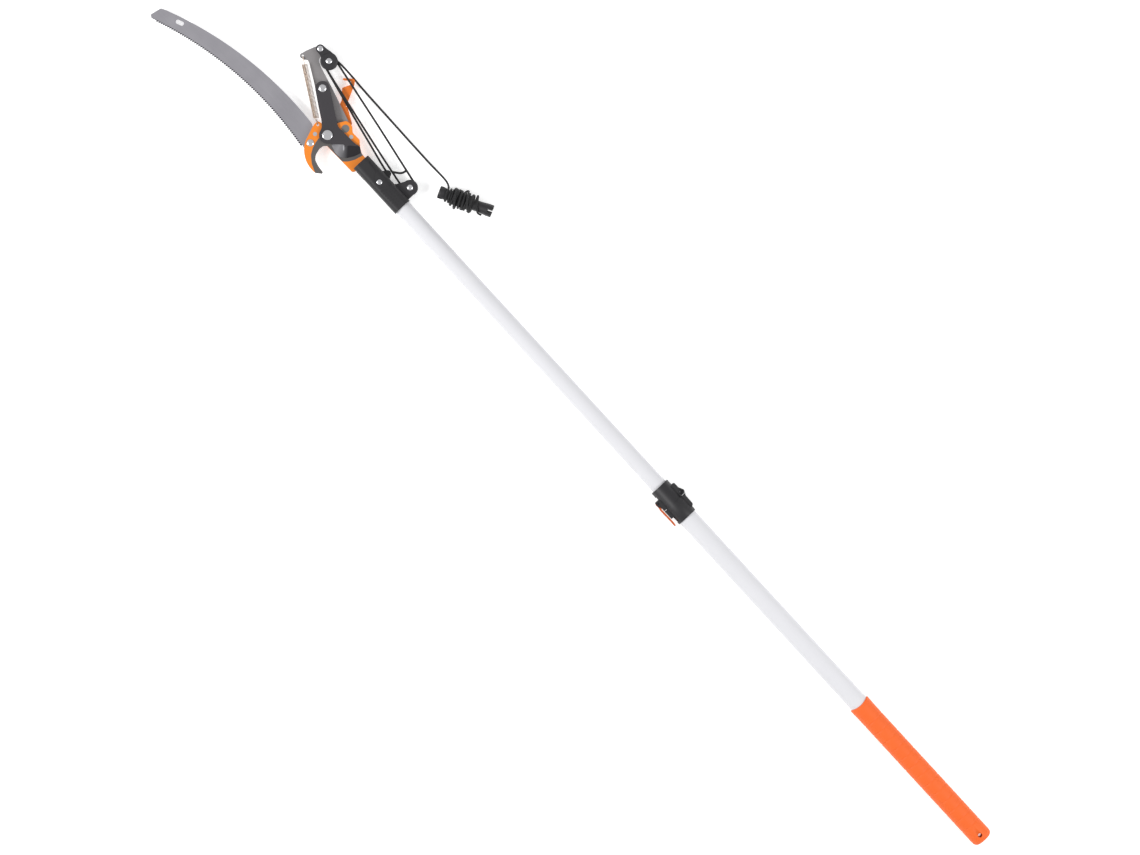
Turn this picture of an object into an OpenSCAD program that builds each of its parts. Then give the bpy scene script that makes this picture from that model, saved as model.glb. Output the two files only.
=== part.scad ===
// Telescoping pole saw: a curved saw and a rope-operated bypass pruner head
// on an aluminium pole in two sections, with a lever clamp and a rubber grip.
// It lies flat: +X runs along the pole towards the saw, +Y towards the hook,
// +Z is square to the plates of the head, up from the surface it lies on.

/* [Pole] */
// Outside diameter of the upper tube
upper_tube_d = 28; // [22:0.5:36]
// Wall of both tubes
tube_wall = 1.5; // [1:0.1:2]
// Gap between the two tubes, taken up by the guide bush
tube_gap = 1; // [0.8:0.1:2]
// Length of the upper tube between socket and clamp
upper_shown = 626; // [400:1:900]
// Length of the upper tube inside the lower one
tube_overlap = 160; // [120:1:220]
// Length of the lower tube between clamp and grip
lower_shown = 418; // [300:1:700]
// Length of the guide bush on the hidden end of the upper tube
bush_length = 25; // [15:1:40]

/* [Grip] */
// Length of the rubber grip
grip_length = 306; // [200:1:360]
// Rubber thickness over the lower tube
grip_wall = 2; // [1.5:0.1:3.5]
// Number of grooves around the grip
grip_rings = 12; // [6:1:15]
// Length of the solid butt behind the tube
butt_length = 23; // [21:1:40]
// Diameter of the hanging hole through the butt
hang_hole_d = 7; // [4:0.5:8]

/* [Clamp] */
// Length of the clamp along the pole
clamp_length = 68; // [62:1:90]
// Wall of the clamp's rear collar over the lower tube
clamp_wall = 1.8; // [1.4:0.1:2]
// Diameter of the clamp lever's pin
clamp_pin_d = 4; // [3:0.5:5]
// Diameter of the bolt that sets the clamp
clamp_bolt_d = 5; // [4:0.5:5]
// Length of the clamp lever
clamp_lever_length = 46; // [36:1:60]

/* [Socket] */
// Length of the moulded socket
socket_length = 101; // [92:1:140]
// Thinnest wall of the socket over the upper tube
socket_wall = 2.15; // [1.6:0.05:3]
// Depth of the upper tube in the socket
tube_in_socket = 75; // [60:1:82]
// Diameter of the through bolts at the socket and its bracket
socket_bolt_d = 5; // [4:0.5:6]

/* [Cutting head] */
// Thickness of the hook plate
hook_t = 3; // [2:0.1:4]
// Thickness of each cover plate
cover_t = 2; // [1.5:0.1:3]
// Thickness of the cutting blade
blade_t = 3.5; // [2.5:0.1:4.5]
// Thickness of the lever
lever_t = 3.5; // [2.5:0.1:4]
// Thickness of the catch
catch_t = 2.5; // [1.5:0.1:3]
// Free space between plates that move past each other
layer_gap = 0.3; // [0.2:0.05:0.5]
// Diameter of the main pivot bolt
pivot_d = 10; // [8:0.5:12]
// Diameter of the bolt between blade and lever
lever_bolt_d = 7; // [5:0.5:8]
// Radial clearance of a turning fit
running_gap = 0.06; // [0.02:0.01:0.1]

/* [Saw] */
// Thickness of the saw blade
saw_t = 1.5; // [1:0.1:2]
// Distance between the points of neighbouring teeth
tooth_pitch = 4; // [3:0.5:6]
// Depth of the teeth
tooth_depth = 2.6; // [1.5:0.1:3.5]
// Diameter of the bolt that holds the saw
saw_bolt_d = 6; // [4:0.5:8]

/* [Pulleys and rope] */
// Diameter of the rope
rope_d = 3.5; // [3:0.1:4]
// Radius of the rope's centre line around a sheave
sheave_pitch_r = 10; // [9:0.1:10.5]
// Width of a sheave
sheave_w = 4.6; // [4.4:0.1:5]
// Thickness of a pulley cheek
cheek_t = 2.2; // [1.5:0.1:3]
// Diameter of the pulley bolts
pulley_bolt_d = 5; // [4:0.5:6]
// Outside diameter of the return spring
spring_d = 10.4; // [8:0.1:11]
// Wire of the return spring
spring_wire = 1.2; // [0.8:0.1:1.4]
// Length of the rope winder
winder_length = 94; // [80:1:120]
// Diameter of the winder's ends
winder_d = 21; // [18:0.5:22]
// Diameter of the rope wound on it
wound_d = 34; // [30:0.5:36]

/* [Hidden] */

// Places in the plane of the head, from the main pivot
POLE_Y = -10.5;
LEVER_BOLT = [62.4, -46.3];
HANG_BOLT = [113.3, -87.8];
BLOCK_AXLE = [88.5, -84.4];
LEVER_SPRING_HOLE = [125, -58.6];
PLATE_SPRING_HOLE = [23.5, 0.3];
RIVETS = [[15.6, 13.9], [-28.5, -26.6]];
SAW_BOLT = [10, 29.5];
WEAR_BUTTON = [-12, -29];
SOCKET_BOLT = [-115.5, POLE_Y];
BIG = 400;

// Layers of the head, square to its plates; the hook plate is in the middle
hook_top = hook_t / 2;
cover_top = hook_top + cover_t;
blade_z = cover_top + layer_gap;
blade_top = blade_z + blade_t;
lever_top = -blade_z;
lever_z = lever_top - lever_t;
catch_top = lever_z - layer_gap;
catch_z = catch_top - catch_t;
pivot_nut_z = catch_z - layer_gap - 5.6;
saw_z = -cover_top - saw_t;

// Radii of the tubes and of what goes round them
upper_r = upper_tube_d / 2;
upper_bore_r = upper_r - tube_wall;
lower_bore_r = upper_r + tube_gap;
lower_r = lower_bore_r + tube_wall;
grip_r = lower_r + grip_wall;
collar_r = lower_r + clamp_wall;
socket_half = upper_r + socket_wall;
slip = 0.05;

// The bracket and the knob stand on the socket's side
bracket_web_y = POLE_Y - socket_half;
BRACKET_BOLT = [-155.5, bracket_web_y - 14.95];
KNOB = [-113.3, bracket_web_y - 3.25];

// Places along the pole
mouth_x = -70;
socket_end_x = mouth_x - socket_length;
tube_front_x = socket_end_x + tube_in_socket;
clamp_x = socket_end_x - upper_shown;
tube_rear_x = clamp_x - tube_overlap;
clamp_end_x = clamp_x - clamp_length;
grip_x = clamp_end_x - lower_shown;
grip_end_x = grip_x - grip_length;
lower_front_x = clamp_x - 34;
lower_end_x = grip_end_x + butt_length;
hang_hole_x = grip_end_x + 12;
tang_end_x = SOCKET_BOLT.x - 14;
tang_half = sqrt(pow(upper_bore_r - 0.5, 2) - pow(cover_top, 2));

// Saw outline: two arcs, joined by a cut-off tip
TEETH_CENTRE = [104, 664];
TEETH_R = 627;
BACK_CENTRE = [80, 640];
BACK_R = 636;
TIP = [[341, 60.8, 1], [345, 80, 2], [340, 83, 2]];
TIP_SLOT = [302.3, 53.8];
TIP_SLOT_ANGLE = 22;
FIRST_TOOTH = -98.3;
LAST_TOOTH = -68.6;
tooth_step = tooth_pitch / TEETH_R * 180 / PI;
tooth_count = floor((LAST_TOOTH - FIRST_TOOTH) / tooth_step);
SAW_OUTLINE = rounded(concat(arc(SAW_BOLT, 13.5, 60, 250, 12), arc(BACK_CENTRE, BACK_R, -94.2, -66.3, 40),
    TIP,
    [for (i = [tooth_count:-1:1]) let (a = FIRST_TOOTH + i * tooth_step)
        each [on_teeth(a, 0), on_teeth(a - tooth_step / 2, tooth_depth)]]));

// The block: two sheaves between two cheeks, outside the lever's layer
sheave_gap = 0.25;
block_low = lever_z - layer_gap;
lower_sheave_z = block_low + sheave_gap + sheave_w / 2;
upper_sheave_z = lower_sheave_z + sheave_w + sheave_gap;
block_high = upper_sheave_z + sheave_w / 2 + sheave_gap;
sheave_r = sheave_pitch_r + 1.5;
cheek_r = 14.5;
cheek_tip_r = 7.2;
bracket_sheave_z = (lower_sheave_z + upper_sheave_z) / 2;
bracket_r = 13;
bracket_low = bracket_sheave_z - sheave_w / 2 - sheave_gap;
bracket_high = bracket_sheave_z + sheave_w / 2 + sheave_gap;

// The winder lies beside the pole, on its rope
WINDER_START = [-192.7, -72.2];
WINDER_ANGLE = 207;
WOUND_FROM = 15.6;
WOUND_LENGTH = 45.4;
winder_z = wound_d / 2 - grip_r;

// Rope routes, by hand
STRAND_1 = [[91, -74.5, lower_sheave_z], [60, -67.5, lower_sheave_z], [20, -58.5, lower_sheave_z],
    [-20, -49.5, lower_sheave_z], [-60, -41, lower_sheave_z], [-90, -34.5, lower_sheave_z],
    [-107.5, KNOB.y - 1.1, lower_sheave_z]];
STRAND_2 = [[86.8, -94.3, lower_sheave_z], [50, -88, -4.6], [0, -79.5, -4.2], [-50, -71, -3.7],
    [-100, -62, -3.2], [-140, -54.8, -2.9], [-157.5, BRACKET_BOLT.y - 9.9, bracket_sheave_z]];
STRAND_3 = [[90.2, -74.5, upper_sheave_z], [60, -68.5, -0.9], [10, -59.5, -1.3], [-40, -50.5, -1.8],
    [-90, -41.8, -2.3], [-130, -35.3, -2.6], [-153.5, BRACKET_BOLT.y + 9.9, bracket_sheave_z]];
KEEPER = [[-119.5, -41.6, -2.4], [-123.5, -42.7, -2.4], [-127, -45.4, -2.5], [-129.5, -49, -2.6],
    [-130.8, -52.2, -2.7]];
FREE_ROPE = [[88, -94.4, upper_sheave_z], [80, -94.6, -0.5], [72, -95.2, -2.4], [64, -95.6, -5],
    [52, -95.6, -9.8], [38, -95.2, -14.2], [24, -94.6, -16.3], [8, -94.2, -16.7], [-25, -93.8, -16.7],
    [-60, -93.4, -16.7],
    [-95, -93, -16.7], [-125, -92.8, -16.7], [-150, -92.8, -16.2], [-167, -93.2, -13.6], [-180, -93.4, -9],
    [-190, -92.6, -3], [-196.5, -90.2, 3], [-200.3, -86.8, 7], [-202, -82.8, 8.5]];

// The part's own frame: middle of the length and width at the floor
saw_max_x = max([for (p = SAW_OUTLINE) p.x]);
saw_max_y = max([for (p = SAW_OUTLINE) p.y]);
frame_shift = [-(saw_max_x + grip_end_x) / 2, -(saw_max_y + BLOCK_AXLE.y - cheek_r) / 2, grip_r];

// ---- Shapes shared by several parts

function unit(v) = v / norm(v);

// Points of an arc that rounds corner b between its neighbours a and c
function corner(a, b, c, steps) = let (
        p = [b.x, b.y],
        u = unit([a.x, a.y] - p),
        v = unit([c.x, c.y] - p),
        half = acos(max(-1, min(1, u * v))) / 2,
        r = len(b) > 2 ? b[2] : 0,
        centre = p + unit(u + v) * r / sin(half),
        start = p + u * r / tan(half) - centre,
        end = p + v * r / tan(half) - centre,
        from = atan2(start.y, start.x),
        turn = atan2(start.x * end.y - start.y * end.x, start * end))
    r == 0 ? [p] : [for (k = [0:steps]) centre + r * [cos(from + turn * k / steps),
        sin(from + turn * k / steps)]];

function area(p) = let (n = len(p))
    [for (i = [0:n - 1]) cross(p[i], p[(i + 1) % n])] * [for (i = [0:n - 1]) 0.5];

// An outline whose corners [x, y, radius] are rounded, given counterclockwise
function rounded(points, steps = 5) = let (
        n = len(points),
        outline = [for (i = [0:n - 1]) each corner(points[(i + n - 1) % n], points[i], points[(i + 1) % n],
            steps)])
    area(outline) > 0 ? outline : [for (i = [len(outline) - 1:-1:0]) outline[i]];

function arc(centre, r, from, to, steps) =
    [for (k = [0:steps]) centre + r * [cos(from + (to - from) * k / steps),
        sin(from + (to - from) * k / steps)]];

// Rings of a tube swept along a route
function along(route, i) = unit(route[min(i + 1, len(route) - 1)] - route[max(i - 1, 0)]);
function ring(p, dir, r, sides) = let (
        side = unit(cross(dir, abs(dir.z) > 0.9 ? [1, 0, 0] : [0, 0, 1])),
        up = cross(side, dir))
    [for (k = [0:sides - 1]) p + r * (cos(360 * k / sides) * side + sin(360 * k / sides) * up)];

module rope(route, d, sides = 8) {
    n = len(route);
    points = [for (i = [0:n - 1]) each ring(route[i], along(route, i), d / 2, sides)];
    walls = [for (i = [0:n - 2], k = [0:sides - 1]) let (next = (k + 1) % sides)
        [i * sides + k, (i + 1) * sides + k, (i + 1) * sides + next, i * sides + next]];
    ends = [[for (k = [0:sides - 1]) k], [for (k = [sides - 1:-1:0]) (n - 1) * sides + k]];
    polyhedron(points, concat(walls, ends), convexity = 4);
}

module in_frame() { translate(frame_shift) children(); }

module at(p, z = 0) { translate([p.x, p.y, z]) children(); }

module hole(p, d) { at(p, -BIG / 2) cylinder(d = d, h = BIG, $fn = 48); }

// A solid of revolution about the pole, from x0 towards +X
module on_pole(x0) { translate([x0, POLE_Y, 0]) rotate([0, 90, 0]) children(); }

module pipe(x0, length, r, bore_r) {
    on_pole(x0) difference() {
        cylinder(r = r, h = length, $fn = 96);
        translate([0, 0, -1]) cylinder(r = bore_r, h = length + 2, $fn = 96);
    }
}

// A bolt with a low domed head that stands on height z; it ends at end_z
module round_bolt(p, d, head_r, z, end_z, head_h) {
    at(p, end_z) cylinder(d = d, h = z - end_z, $fn = 48);
    difference() {
        at(p, z) rotate_extrude($fn = 48)
            polygon(concat([[0, 0], [head_r, 0], [head_r, head_h * 0.45]],
                [for (k = [1:5])
                    [head_r * cos(12 + 78 * k / 5), head_h * (0.45 + 0.55 * sin(90 * k / 5))]]));
        at(p, z + head_h * 0.35) cylinder(r = head_r * 0.5, h = head_h, $fn = 6);
    }
}

module hex_nut(p, d, z, h) {
    difference() {
        at(p, z) cylinder(d = d * 1.9, h = h, $fn = 6);
        hole(p, d);
    }
}

// ---- Outlines of the head

HOOK_OUTER = arc([-24.2, 9.8], 48, 99, 29, 12);
SPRING_EAR = [[27.3, 8, 12], [29.6, -4.6, 5.5], [18.5, -6.4, 4]];
LOWER_EAR = [[8, -2], [4.5, -24, 2], [-4, -39.5, 6], [-16, -40.6, 9], [-24.5, -33.2, 8], [-41, -34, 5]];
TANG = [[mouth_x, POLE_Y - tang_half], [tang_end_x, POLE_Y - tang_half, 2],
    [tang_end_x, POLE_Y + tang_half, 2], [mouth_x, POLE_Y + tang_half],
    [mouth_x, POLE_Y + socket_half + slip], [-75, POLE_Y + socket_half + slip, 0.5]];

module hook_outline() {
    polygon(rounded(concat(TANG, [[-71.5, 10.9, 3], [-13, 12.2, 1], [-8.3, 17.2, 4], [-7.2, 25, 12],
        [-10.5, 36.5, 10],
        [-16, 42.5, 8], [-26, 45.6, 15], [-39.4, 47, 1], [-40.8, 49.6, 1], [-33.5, 55.8, 1]], HOOK_OUTER,
        SPRING_EAR, LOWER_EAR, [[-50.4, -26.2, 4], [-60, -21, 8], [mouth_x, -20.4]])));
}

// The front cover, from the back of the hook round the spring ear to the lower ear
module front_outline() {
    polygon(rounded(concat(HOOK_OUTER, SPRING_EAR, LOWER_EAR,
        [[-50.4, -26.2, 1], [-44, -20, 3], [-20, -12, 10], [-11, -2, 8], [-4, 9, 4], [6.4, 13, 2],
            [4.5, 23, 20],
        [1, 32.5, 20], [-5.5, 42.5, 20], [-17, 51, 15]])));
}

// The lower cover, between the ground face of the blade and the socket
module neck_outline() {
    polygon(rounded(concat(TANG, [[-71.5, 10.9, 3], [-48.3, 11.43], [-55, 4.5, 20], [-60.4, -6, 20],
        [-64, -20.8],
        [mouth_x, -20.4]])));
}

module head_holes() {
    hole([0, 0], pivot_d + 2 * slip);
    hole(WEAR_BUTTON, button_d + 2 * slip);
    hole(SAW_BOLT, saw_bolt_d + 2 * slip);
    hole(SOCKET_BOLT, socket_bolt_d + 2 * slip);
    hole(PLATE_SPRING_HOLE, 4.4);
    for (p = RIVETS) hole(p, 4);
}

button_d = 7;
button_head_r = 6.6;
rivet_head_r = 3.4;
flush_t = cover_t * 0.7;

module hook_plate() {
    in_frame() color("dimgray") difference() {
        union() {
            translate([0, 0, -hook_top]) linear_extrude(hook_t) hook_outline();
            translate([0, 0, hook_top]) linear_extrude(cover_t) difference() {
                hook_outline();
                front_outline();
                neck_outline();
            }
        }
        head_holes();
    }
}

module front_plate() {
    in_frame() color("darkorange") difference() {
        translate([0, 0, hook_top]) linear_extrude(cover_t) front_outline();
        head_holes();
        at(WEAR_BUTTON, cover_top - flush_t) cylinder(r = button_head_r + slip, h = cover_t, $fn = 48);
        for (p = RIVETS) at(p, cover_top - flush_t) cylinder(r = rivet_head_r + slip, h = cover_t, $fn = 48);
    }
}

module neck_plate() {
    in_frame() color("darkorange") difference() {
        translate([0, 0, hook_top]) linear_extrude(cover_t) neck_outline();
        head_holes();
    }
}

// The rear cover backs the whole body, and shows as a thin line on the left
module rear_plate() {
    in_frame() color("darkorange") difference() {
        translate([0, 0, -cover_top]) linear_extrude(cover_t) {
            front_outline();
            neck_outline();
            polygon(rounded([[0, 9], [-13, 12.7, 1], [-72, 11.4, 3],
                [-75.4, POLE_Y + socket_half + slip, 0.5], [mouth_x, POLE_Y + socket_half + slip],
                    [mouth_x, -20.4], [-60, -21, 8], [-50.4, -26.2],
                [-10, -20]]));
        }
        head_holes();
    }
}

module plate_rivets() {
    in_frame() color("gainsboro") for (p = RIVETS) {
        at(p, -cover_top) cylinder(r = 2 - slip, h = 2 * cover_top - flush_t, $fn = 48);
        at(p, cover_top - flush_t) cylinder(r = rivet_head_r, h = flush_t, $fn = 48);
    }
}

// The blade slides over this hardened button, let in flush
module wear_button() {
    in_frame() color("gray") {
        at(WEAR_BUTTON, -cover_top) cylinder(d = button_d, h = 2 * cover_top - flush_t, $fn = 48);
        at(WEAR_BUTTON, cover_top - flush_t) cylinder(r = button_head_r, h = flush_t, $fn = 48);
    }
}

// ---- Saw

function on_teeth(angle, depth) = TEETH_CENTRE + (TEETH_R - depth) * [cos(angle), sin(angle)];

module saw_blade() {
    in_frame() color("silver") difference() {
        translate([0, 0, saw_z]) linear_extrude(saw_t) polygon(SAW_OUTLINE);
        hole(SAW_BOLT, saw_bolt_d + 2 * slip);
        at(TIP_SLOT, -BIG / 2) rotate(TIP_SLOT_ANGLE) linear_extrude(BIG) {
            square([7, 7], center = true);
            for (side = [-1, 1]) translate([side * 3.5, 0]) circle(d = 7, $fn = 32);
        }
    }
}

module saw_bolt() { in_frame() color("gainsboro") round_bolt(SAW_BOLT, saw_bolt_d, 5.8, cover_top,
    saw_z - 5, 2.6); }

module saw_nut() { in_frame() color("gainsboro") hex_nut(SAW_BOLT, saw_bolt_d, saw_z - 4.2, 4.2); }

// ---- Moving blade and lever

module cutting_blade() {
    in_frame() color([0.2, 0.2, 0.21]) difference() {
        translate([0, 0, blade_z]) linear_extrude(blade_t) {
            polygon(rounded([[68.9, -36.1], [41.8, -19.2], [24.4, -8.9, 30], [16, -2, 8], [10, 9, 3],
                [-4, 12], [-14.5, 5.2, 2],
                [-21.5, 7.6, 6], [-31, 10.6, 20], [-41, 9.4, 12], [-49.5, 2, 16], [-55.5, -9, 20],
                [-58.8, -20.2, 0.6], [-49.8, -26.6, 1.5], [-40.4, -23.8, 30], [-1.3, -22.4, 3],
                [3.7, -25.2, 10], [56.1, -56.2]]));
            at(LEVER_BOLT) circle(r = 12, $fn = 64);
            circle(r = 14, $fn = 64);
        }
        hole([0, 0], pivot_d + 2 * running_gap);
        hole(LEVER_BOLT, lever_bolt_d + 2 * slip);
    }
}

// The lever carries the spring eye and hangs the block on its end
module lever() {
    in_frame() color([0.5, 0.5, 0.5]) difference() {
        translate([0, 0, lever_z]) linear_extrude(lever_t) {
            polygon(rounded([[129.6, -58.6, 2], [127.1, -69.4, 30], [122, -84, 10], [113.3, -94.9, 6],
                [105.5, -86, 4],
                [102.3, -73.1, 8], [88.6, -67.5, 20], [54.7, -58.7, 60], [-7.9, -40.4, 3], [-9, -10], [9, 9],
                [14, -2.5, 8], [78.1, -41.6, 60], [108.8, -58.4, 3], [114.3, -60.2, 4], [120, -54.4, 1]]));
            at(LEVER_SPRING_HOLE) circle(r = 4.65, $fn = 48);
            at(HANG_BOLT) circle(r = cheek_tip_r, $fn = 48);
            circle(r = 12.7, $fn = 64);
        }
        hole([0, 0], pivot_d + 2 * running_gap);
        hole(LEVER_BOLT, lever_bolt_d + 2 * slip);
        hole(HANG_BOLT, pulley_bolt_d + 2 * running_gap);
        hole(LEVER_SPRING_HOLE, 3.6);
    }
}

module lever_bolt() {
    in_frame() color("gainsboro") round_bolt(LEVER_BOLT, lever_bolt_d, 6.2, blade_top, lever_z, 2.6);
}

module lever_spacer() {
    in_frame() color("darkgray") difference() {
        at(LEVER_BOLT, lever_top) cylinder(d = lever_bolt_d + 7, h = blade_z - lever_top, $fn = 48);
        hole(LEVER_BOLT, lever_bolt_d + 2 * slip);
    }
}

module pivot_bolt() {
    z = blade_top + layer_gap;
    in_frame() color("gainsboro") {
        at([0, 0], pivot_nut_z) cylinder(d = pivot_d, h = z - pivot_nut_z, $fn = 48);
        at([0, 0], z) rotate_extrude($fn = 64)
            polygon([[0, 0], [8.4, 0], [8.4, 1.4], [8.1, 2], [7.4, 2.3], [5.6, 2.3], [5.2, 2], [0, 2]]);
    }
}

module pivot_nut() { in_frame() color("gainsboro") hex_nut([0, 0], pivot_d, pivot_nut_z, 5.6); }

// ---- Catch

module catch() {
    in_frame() color([0.85, 0.4, 0.05]) difference() {
        translate([0, 0, catch_z]) linear_extrude(catch_t) {
            polygon(rounded([[-11, -4], [-13.2, -30, 6], [-13.5, -42.3, 3], [13.2, -55.9, 0.5],
                [14.8, -53.6, 0.5], [16.4, -57.7, 0.5], [32.4, -89.6, 3], [38.4, -96.4, 4],
                [53, -82.8, 1.6], [50.4, -80, 1.6],
                [39.6, -90, 2.5], [36.4, -84.4, 1.5], [42.2, -70.7, 2], [27.2, -55.9, 6], [10, -6]]));
            circle(r = 12, $fn = 64);
        }
        hole([0, 0], pivot_d + 2 * running_gap);
    }
}

// ---- Return spring: the close-wound coils as one sleeve, with an eye drawn out at each end

spring_z = lever_top + 0.2 + spring_d / 2;
spring_run = LEVER_SPRING_HOLE - PLATE_SPRING_HOLE;
spring_angle = atan2(spring_run.y, spring_run.x);
coil_from = 10.5;
coil_to = norm(spring_run) - 14;
draw_length = 27;

// Turns +Z of its children to the line from the plate's eye to the lever's
module on_spring(z) { at(PLATE_SPRING_HOLE, z) rotate([0, 90, spring_angle]) children(); }

module spring_eye(from, r) {
    translate([0, 0, from + r]) rotate([90, 0, 0]) rotate_extrude($fn = 32) translate([r, 0])
        circle(d = spring_wire, $fn = 16);
}

module return_spring() {
    in_frame() color([0.72, 0.62, 0.55]) {
        on_spring(0) spring_eye(-0.5, cover_top + 1.1);
        on_spring(spring_z) difference() {
            translate([0, 0, coil_from]) cylinder(d = spring_d, h = coil_to - coil_from, $fn = 48);
            translate([0, 0, coil_from + spring_wire])
                cylinder(d = spring_d - 2 * spring_wire, h = BIG, $fn = 48);
        }
        on_spring(0) translate([0, 0, 2 * cover_top + 2.2 - spring_wire / 2])
            cylinder(d = spring_wire, h = coil_from - 2 * cover_top - 1, $fn = 16);
    }
}

// This eye draws out of the coils as the lever closes
module spring_hook() {
    eye_z = (lever_top + lever_z) / 2;
    in_frame() color([0.72, 0.62, 0.55]) {
        on_spring(eye_z) spring_eye(norm(spring_run) - 8, 4);
        on_spring(eye_z + 4.9) translate([0, 0, coil_to - draw_length])
            cylinder(d = spring_wire, h = draw_length + 14 - 4, $fn = 16);
    }
}

// ---- Pulley block

module sheave(p, z, bolt_d) {
    groove_r = sheave_pitch_r - rope_d / 2 - 0.15;
    groove_half = rope_d / 2 + 0.15;
    at(p, z) rotate_extrude($fn = 64)
        polygon([[bolt_d / 2 + running_gap, -sheave_w / 2], [sheave_r, -sheave_w / 2],
        [sheave_r, -groove_half], [groove_r, -groove_half], [groove_r, groove_half], [sheave_r, groove_half],
        [sheave_r, sheave_w / 2], [bolt_d / 2 + running_gap, sheave_w / 2]]);
}

module block_cheek(z) {
    difference() {
        translate([0, 0, z]) linear_extrude(cheek_t) {
            at(BLOCK_AXLE) circle(r = cheek_r, $fn = 64);
            at(HANG_BOLT) circle(r = cheek_tip_r, $fn = 48);
            polygon(rounded([[114, -94.8], [106, -95.6, 20], [97, -97.6, 10], [84, -98], [84, -71],
                [93, -71, 8], [103, -79.6, 14], [112, -80.8]]));
        }
        hole(HANG_BOLT, pulley_bolt_d + 2 * slip);
        hole(BLOCK_AXLE, pulley_bolt_d + 2 * slip);
    }
}

// The front cheek carries a raised disc, open round the axle bolt's head
module block_cheek_front() {
    top = block_high + cheek_t;
    in_frame() color([0.15, 0.15, 0.16]) {
        block_cheek(block_high);
        difference() {
            at(BLOCK_AXLE, top - 0.2) cylinder(r1 = cheek_r - 0.6, r2 = cheek_r - 1.8, h = 1.2, $fn = 64);
            at(BLOCK_AXLE, top - 1) cylinder(r = 5.5, h = 3, $fn = 48);
        }
    }
}

module block_cheek_rear() { in_frame() color([0.15, 0.15, 0.16]) block_cheek(block_low - cheek_t); }

// Keeps the front cheek above the lever
module block_spacer() {
    in_frame() color("darkgray") difference() {
        at(HANG_BOLT, lever_top + layer_gap)
            cylinder(r = cheek_tip_r - 2, h = block_high - lever_top - layer_gap, $fn = 48);
        hole(HANG_BOLT, pulley_bolt_d + 2 * slip);
    }
}

// The hanging bolt and the axle of the sheaves
module block_bolts() {
    in_frame() color("gainsboro") for (p = [HANG_BOLT, BLOCK_AXLE])
        round_bolt(p, pulley_bolt_d, 4.8, block_high + cheek_t, block_low - cheek_t - 3.4, 2);
}

module block_nuts() {
    in_frame() color("gainsboro") for (p = [HANG_BOLT, BLOCK_AXLE])
        hex_nut(p, pulley_bolt_d, block_low - cheek_t - 3, 3);
}

module block_sheave_1() { in_frame() color("dimgray") sheave(BLOCK_AXLE, lower_sheave_z, pulley_bolt_d); }

module block_sheave_2() { in_frame() color("dimgray") sheave(BLOCK_AXLE, upper_sheave_z, pulley_bolt_d); }

// ---- Socket, bracket and knob

module socket() {
    h = socket_half;
    corner_r = 10;
    in_frame() color([0.17, 0.17, 0.18]) difference() {
        union() {
            on_pole(socket_end_x) linear_extrude(socket_length)
                polygon(rounded([[-h, -h, corner_r], [h, -h, corner_r], [h, h, corner_r],
                    [-h, h, corner_r]], 10));
            intersection() {
                on_pole(socket_end_x) linear_extrude(socket_length)
                    polygon(rounded([for (p = [[-1, -1], [1, -1], [1, 1], [-1, 1]])
                        [p.x * (h + 0.7), p.y * (h + 0.7), corner_r + 0.7]], 10));
                translate([0, 0, 4]) linear_extrude(BIG)
                    polygon(rounded([[-80, -25.5, 2], [-80, -20.8, 2], [-99, -18.6, 8], [-104, -10.5, 6],
                        [-109.5, -4.6, 4], [-117, -0.6, 3], [-123.5, -4, 4], [-133, -25.5, 2]]));
            }
            for (i = [0:5]) translate([-79 - 3.2 * i, POLE_Y + h - 1, -5]) cube([1.4, 1.6, 10]);
        }
        on_pole(socket_end_x - 1) cylinder(r = upper_r + slip, h = tube_in_socket + 1, $fn = 96);
        translate([tube_front_x - 1, POLE_Y - tang_half - slip, -cover_top - slip])
            cube([socket_length, 2 * (tang_half + slip), 2 * (cover_top + slip)]);
        hole(SOCKET_BOLT, socket_bolt_d + 2 * slip);
        at(SOCKET_BOLT, h - 1) cylinder(r = 5.6, h = 5, $fn = 48);
        at(SOCKET_BOLT, -h - 1) cylinder(d = 11, h = 2.8, $fn = 6);
        for (row = [0:6], column = [0:3])
            at([-129.4 - 5.2 * row - 2.2 * column, -2.6 - 5.2 * column], h - 0.5)
                cylinder(r = 2.1 - 0.23 * row, h = 2, $fn = 24);
        for (x = BRACKET_RIVETS_X) translate([x, POLE_Y - upper_r + 2, bracket_sheave_z]) rotate([90, 0, 0])
            cylinder(r = 1.6 + slip, h = 10, $fn = 32);
    }
}

module socket_bolt() {
    in_frame() color("gainsboro") round_bolt(SOCKET_BOLT, socket_bolt_d, 4.7, socket_half - 1,
        -socket_half, 2.2);
}

module socket_nut() { in_frame() color("gainsboro") hex_nut(SOCKET_BOLT, socket_bolt_d, -socket_half, 1.7); }

BRACKET_RIVETS_X = [-160, -146];

module bracket_cheek(z) {
    difference() {
        translate([0, 0, z]) linear_extrude(cheek_t) {
            at(BRACKET_BOLT) circle(r = bracket_r, $fn = 64);
            polygon(rounded([[-134.4, bracket_web_y], [-138, bracket_web_y - 6.35, 4],
                [-146.5, BRACKET_BOLT.y - 8.9, 10], [-158, BRACKET_BOLT.y - 12.9],
                [-166.5, BRACKET_BOLT.y - 6.9], [-167.6, BRACKET_BOLT.y - 0.4], [-168, bracket_web_y]]));
        }
        hole(BRACKET_BOLT, socket_bolt_d + 2 * slip);
    }
}

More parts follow.
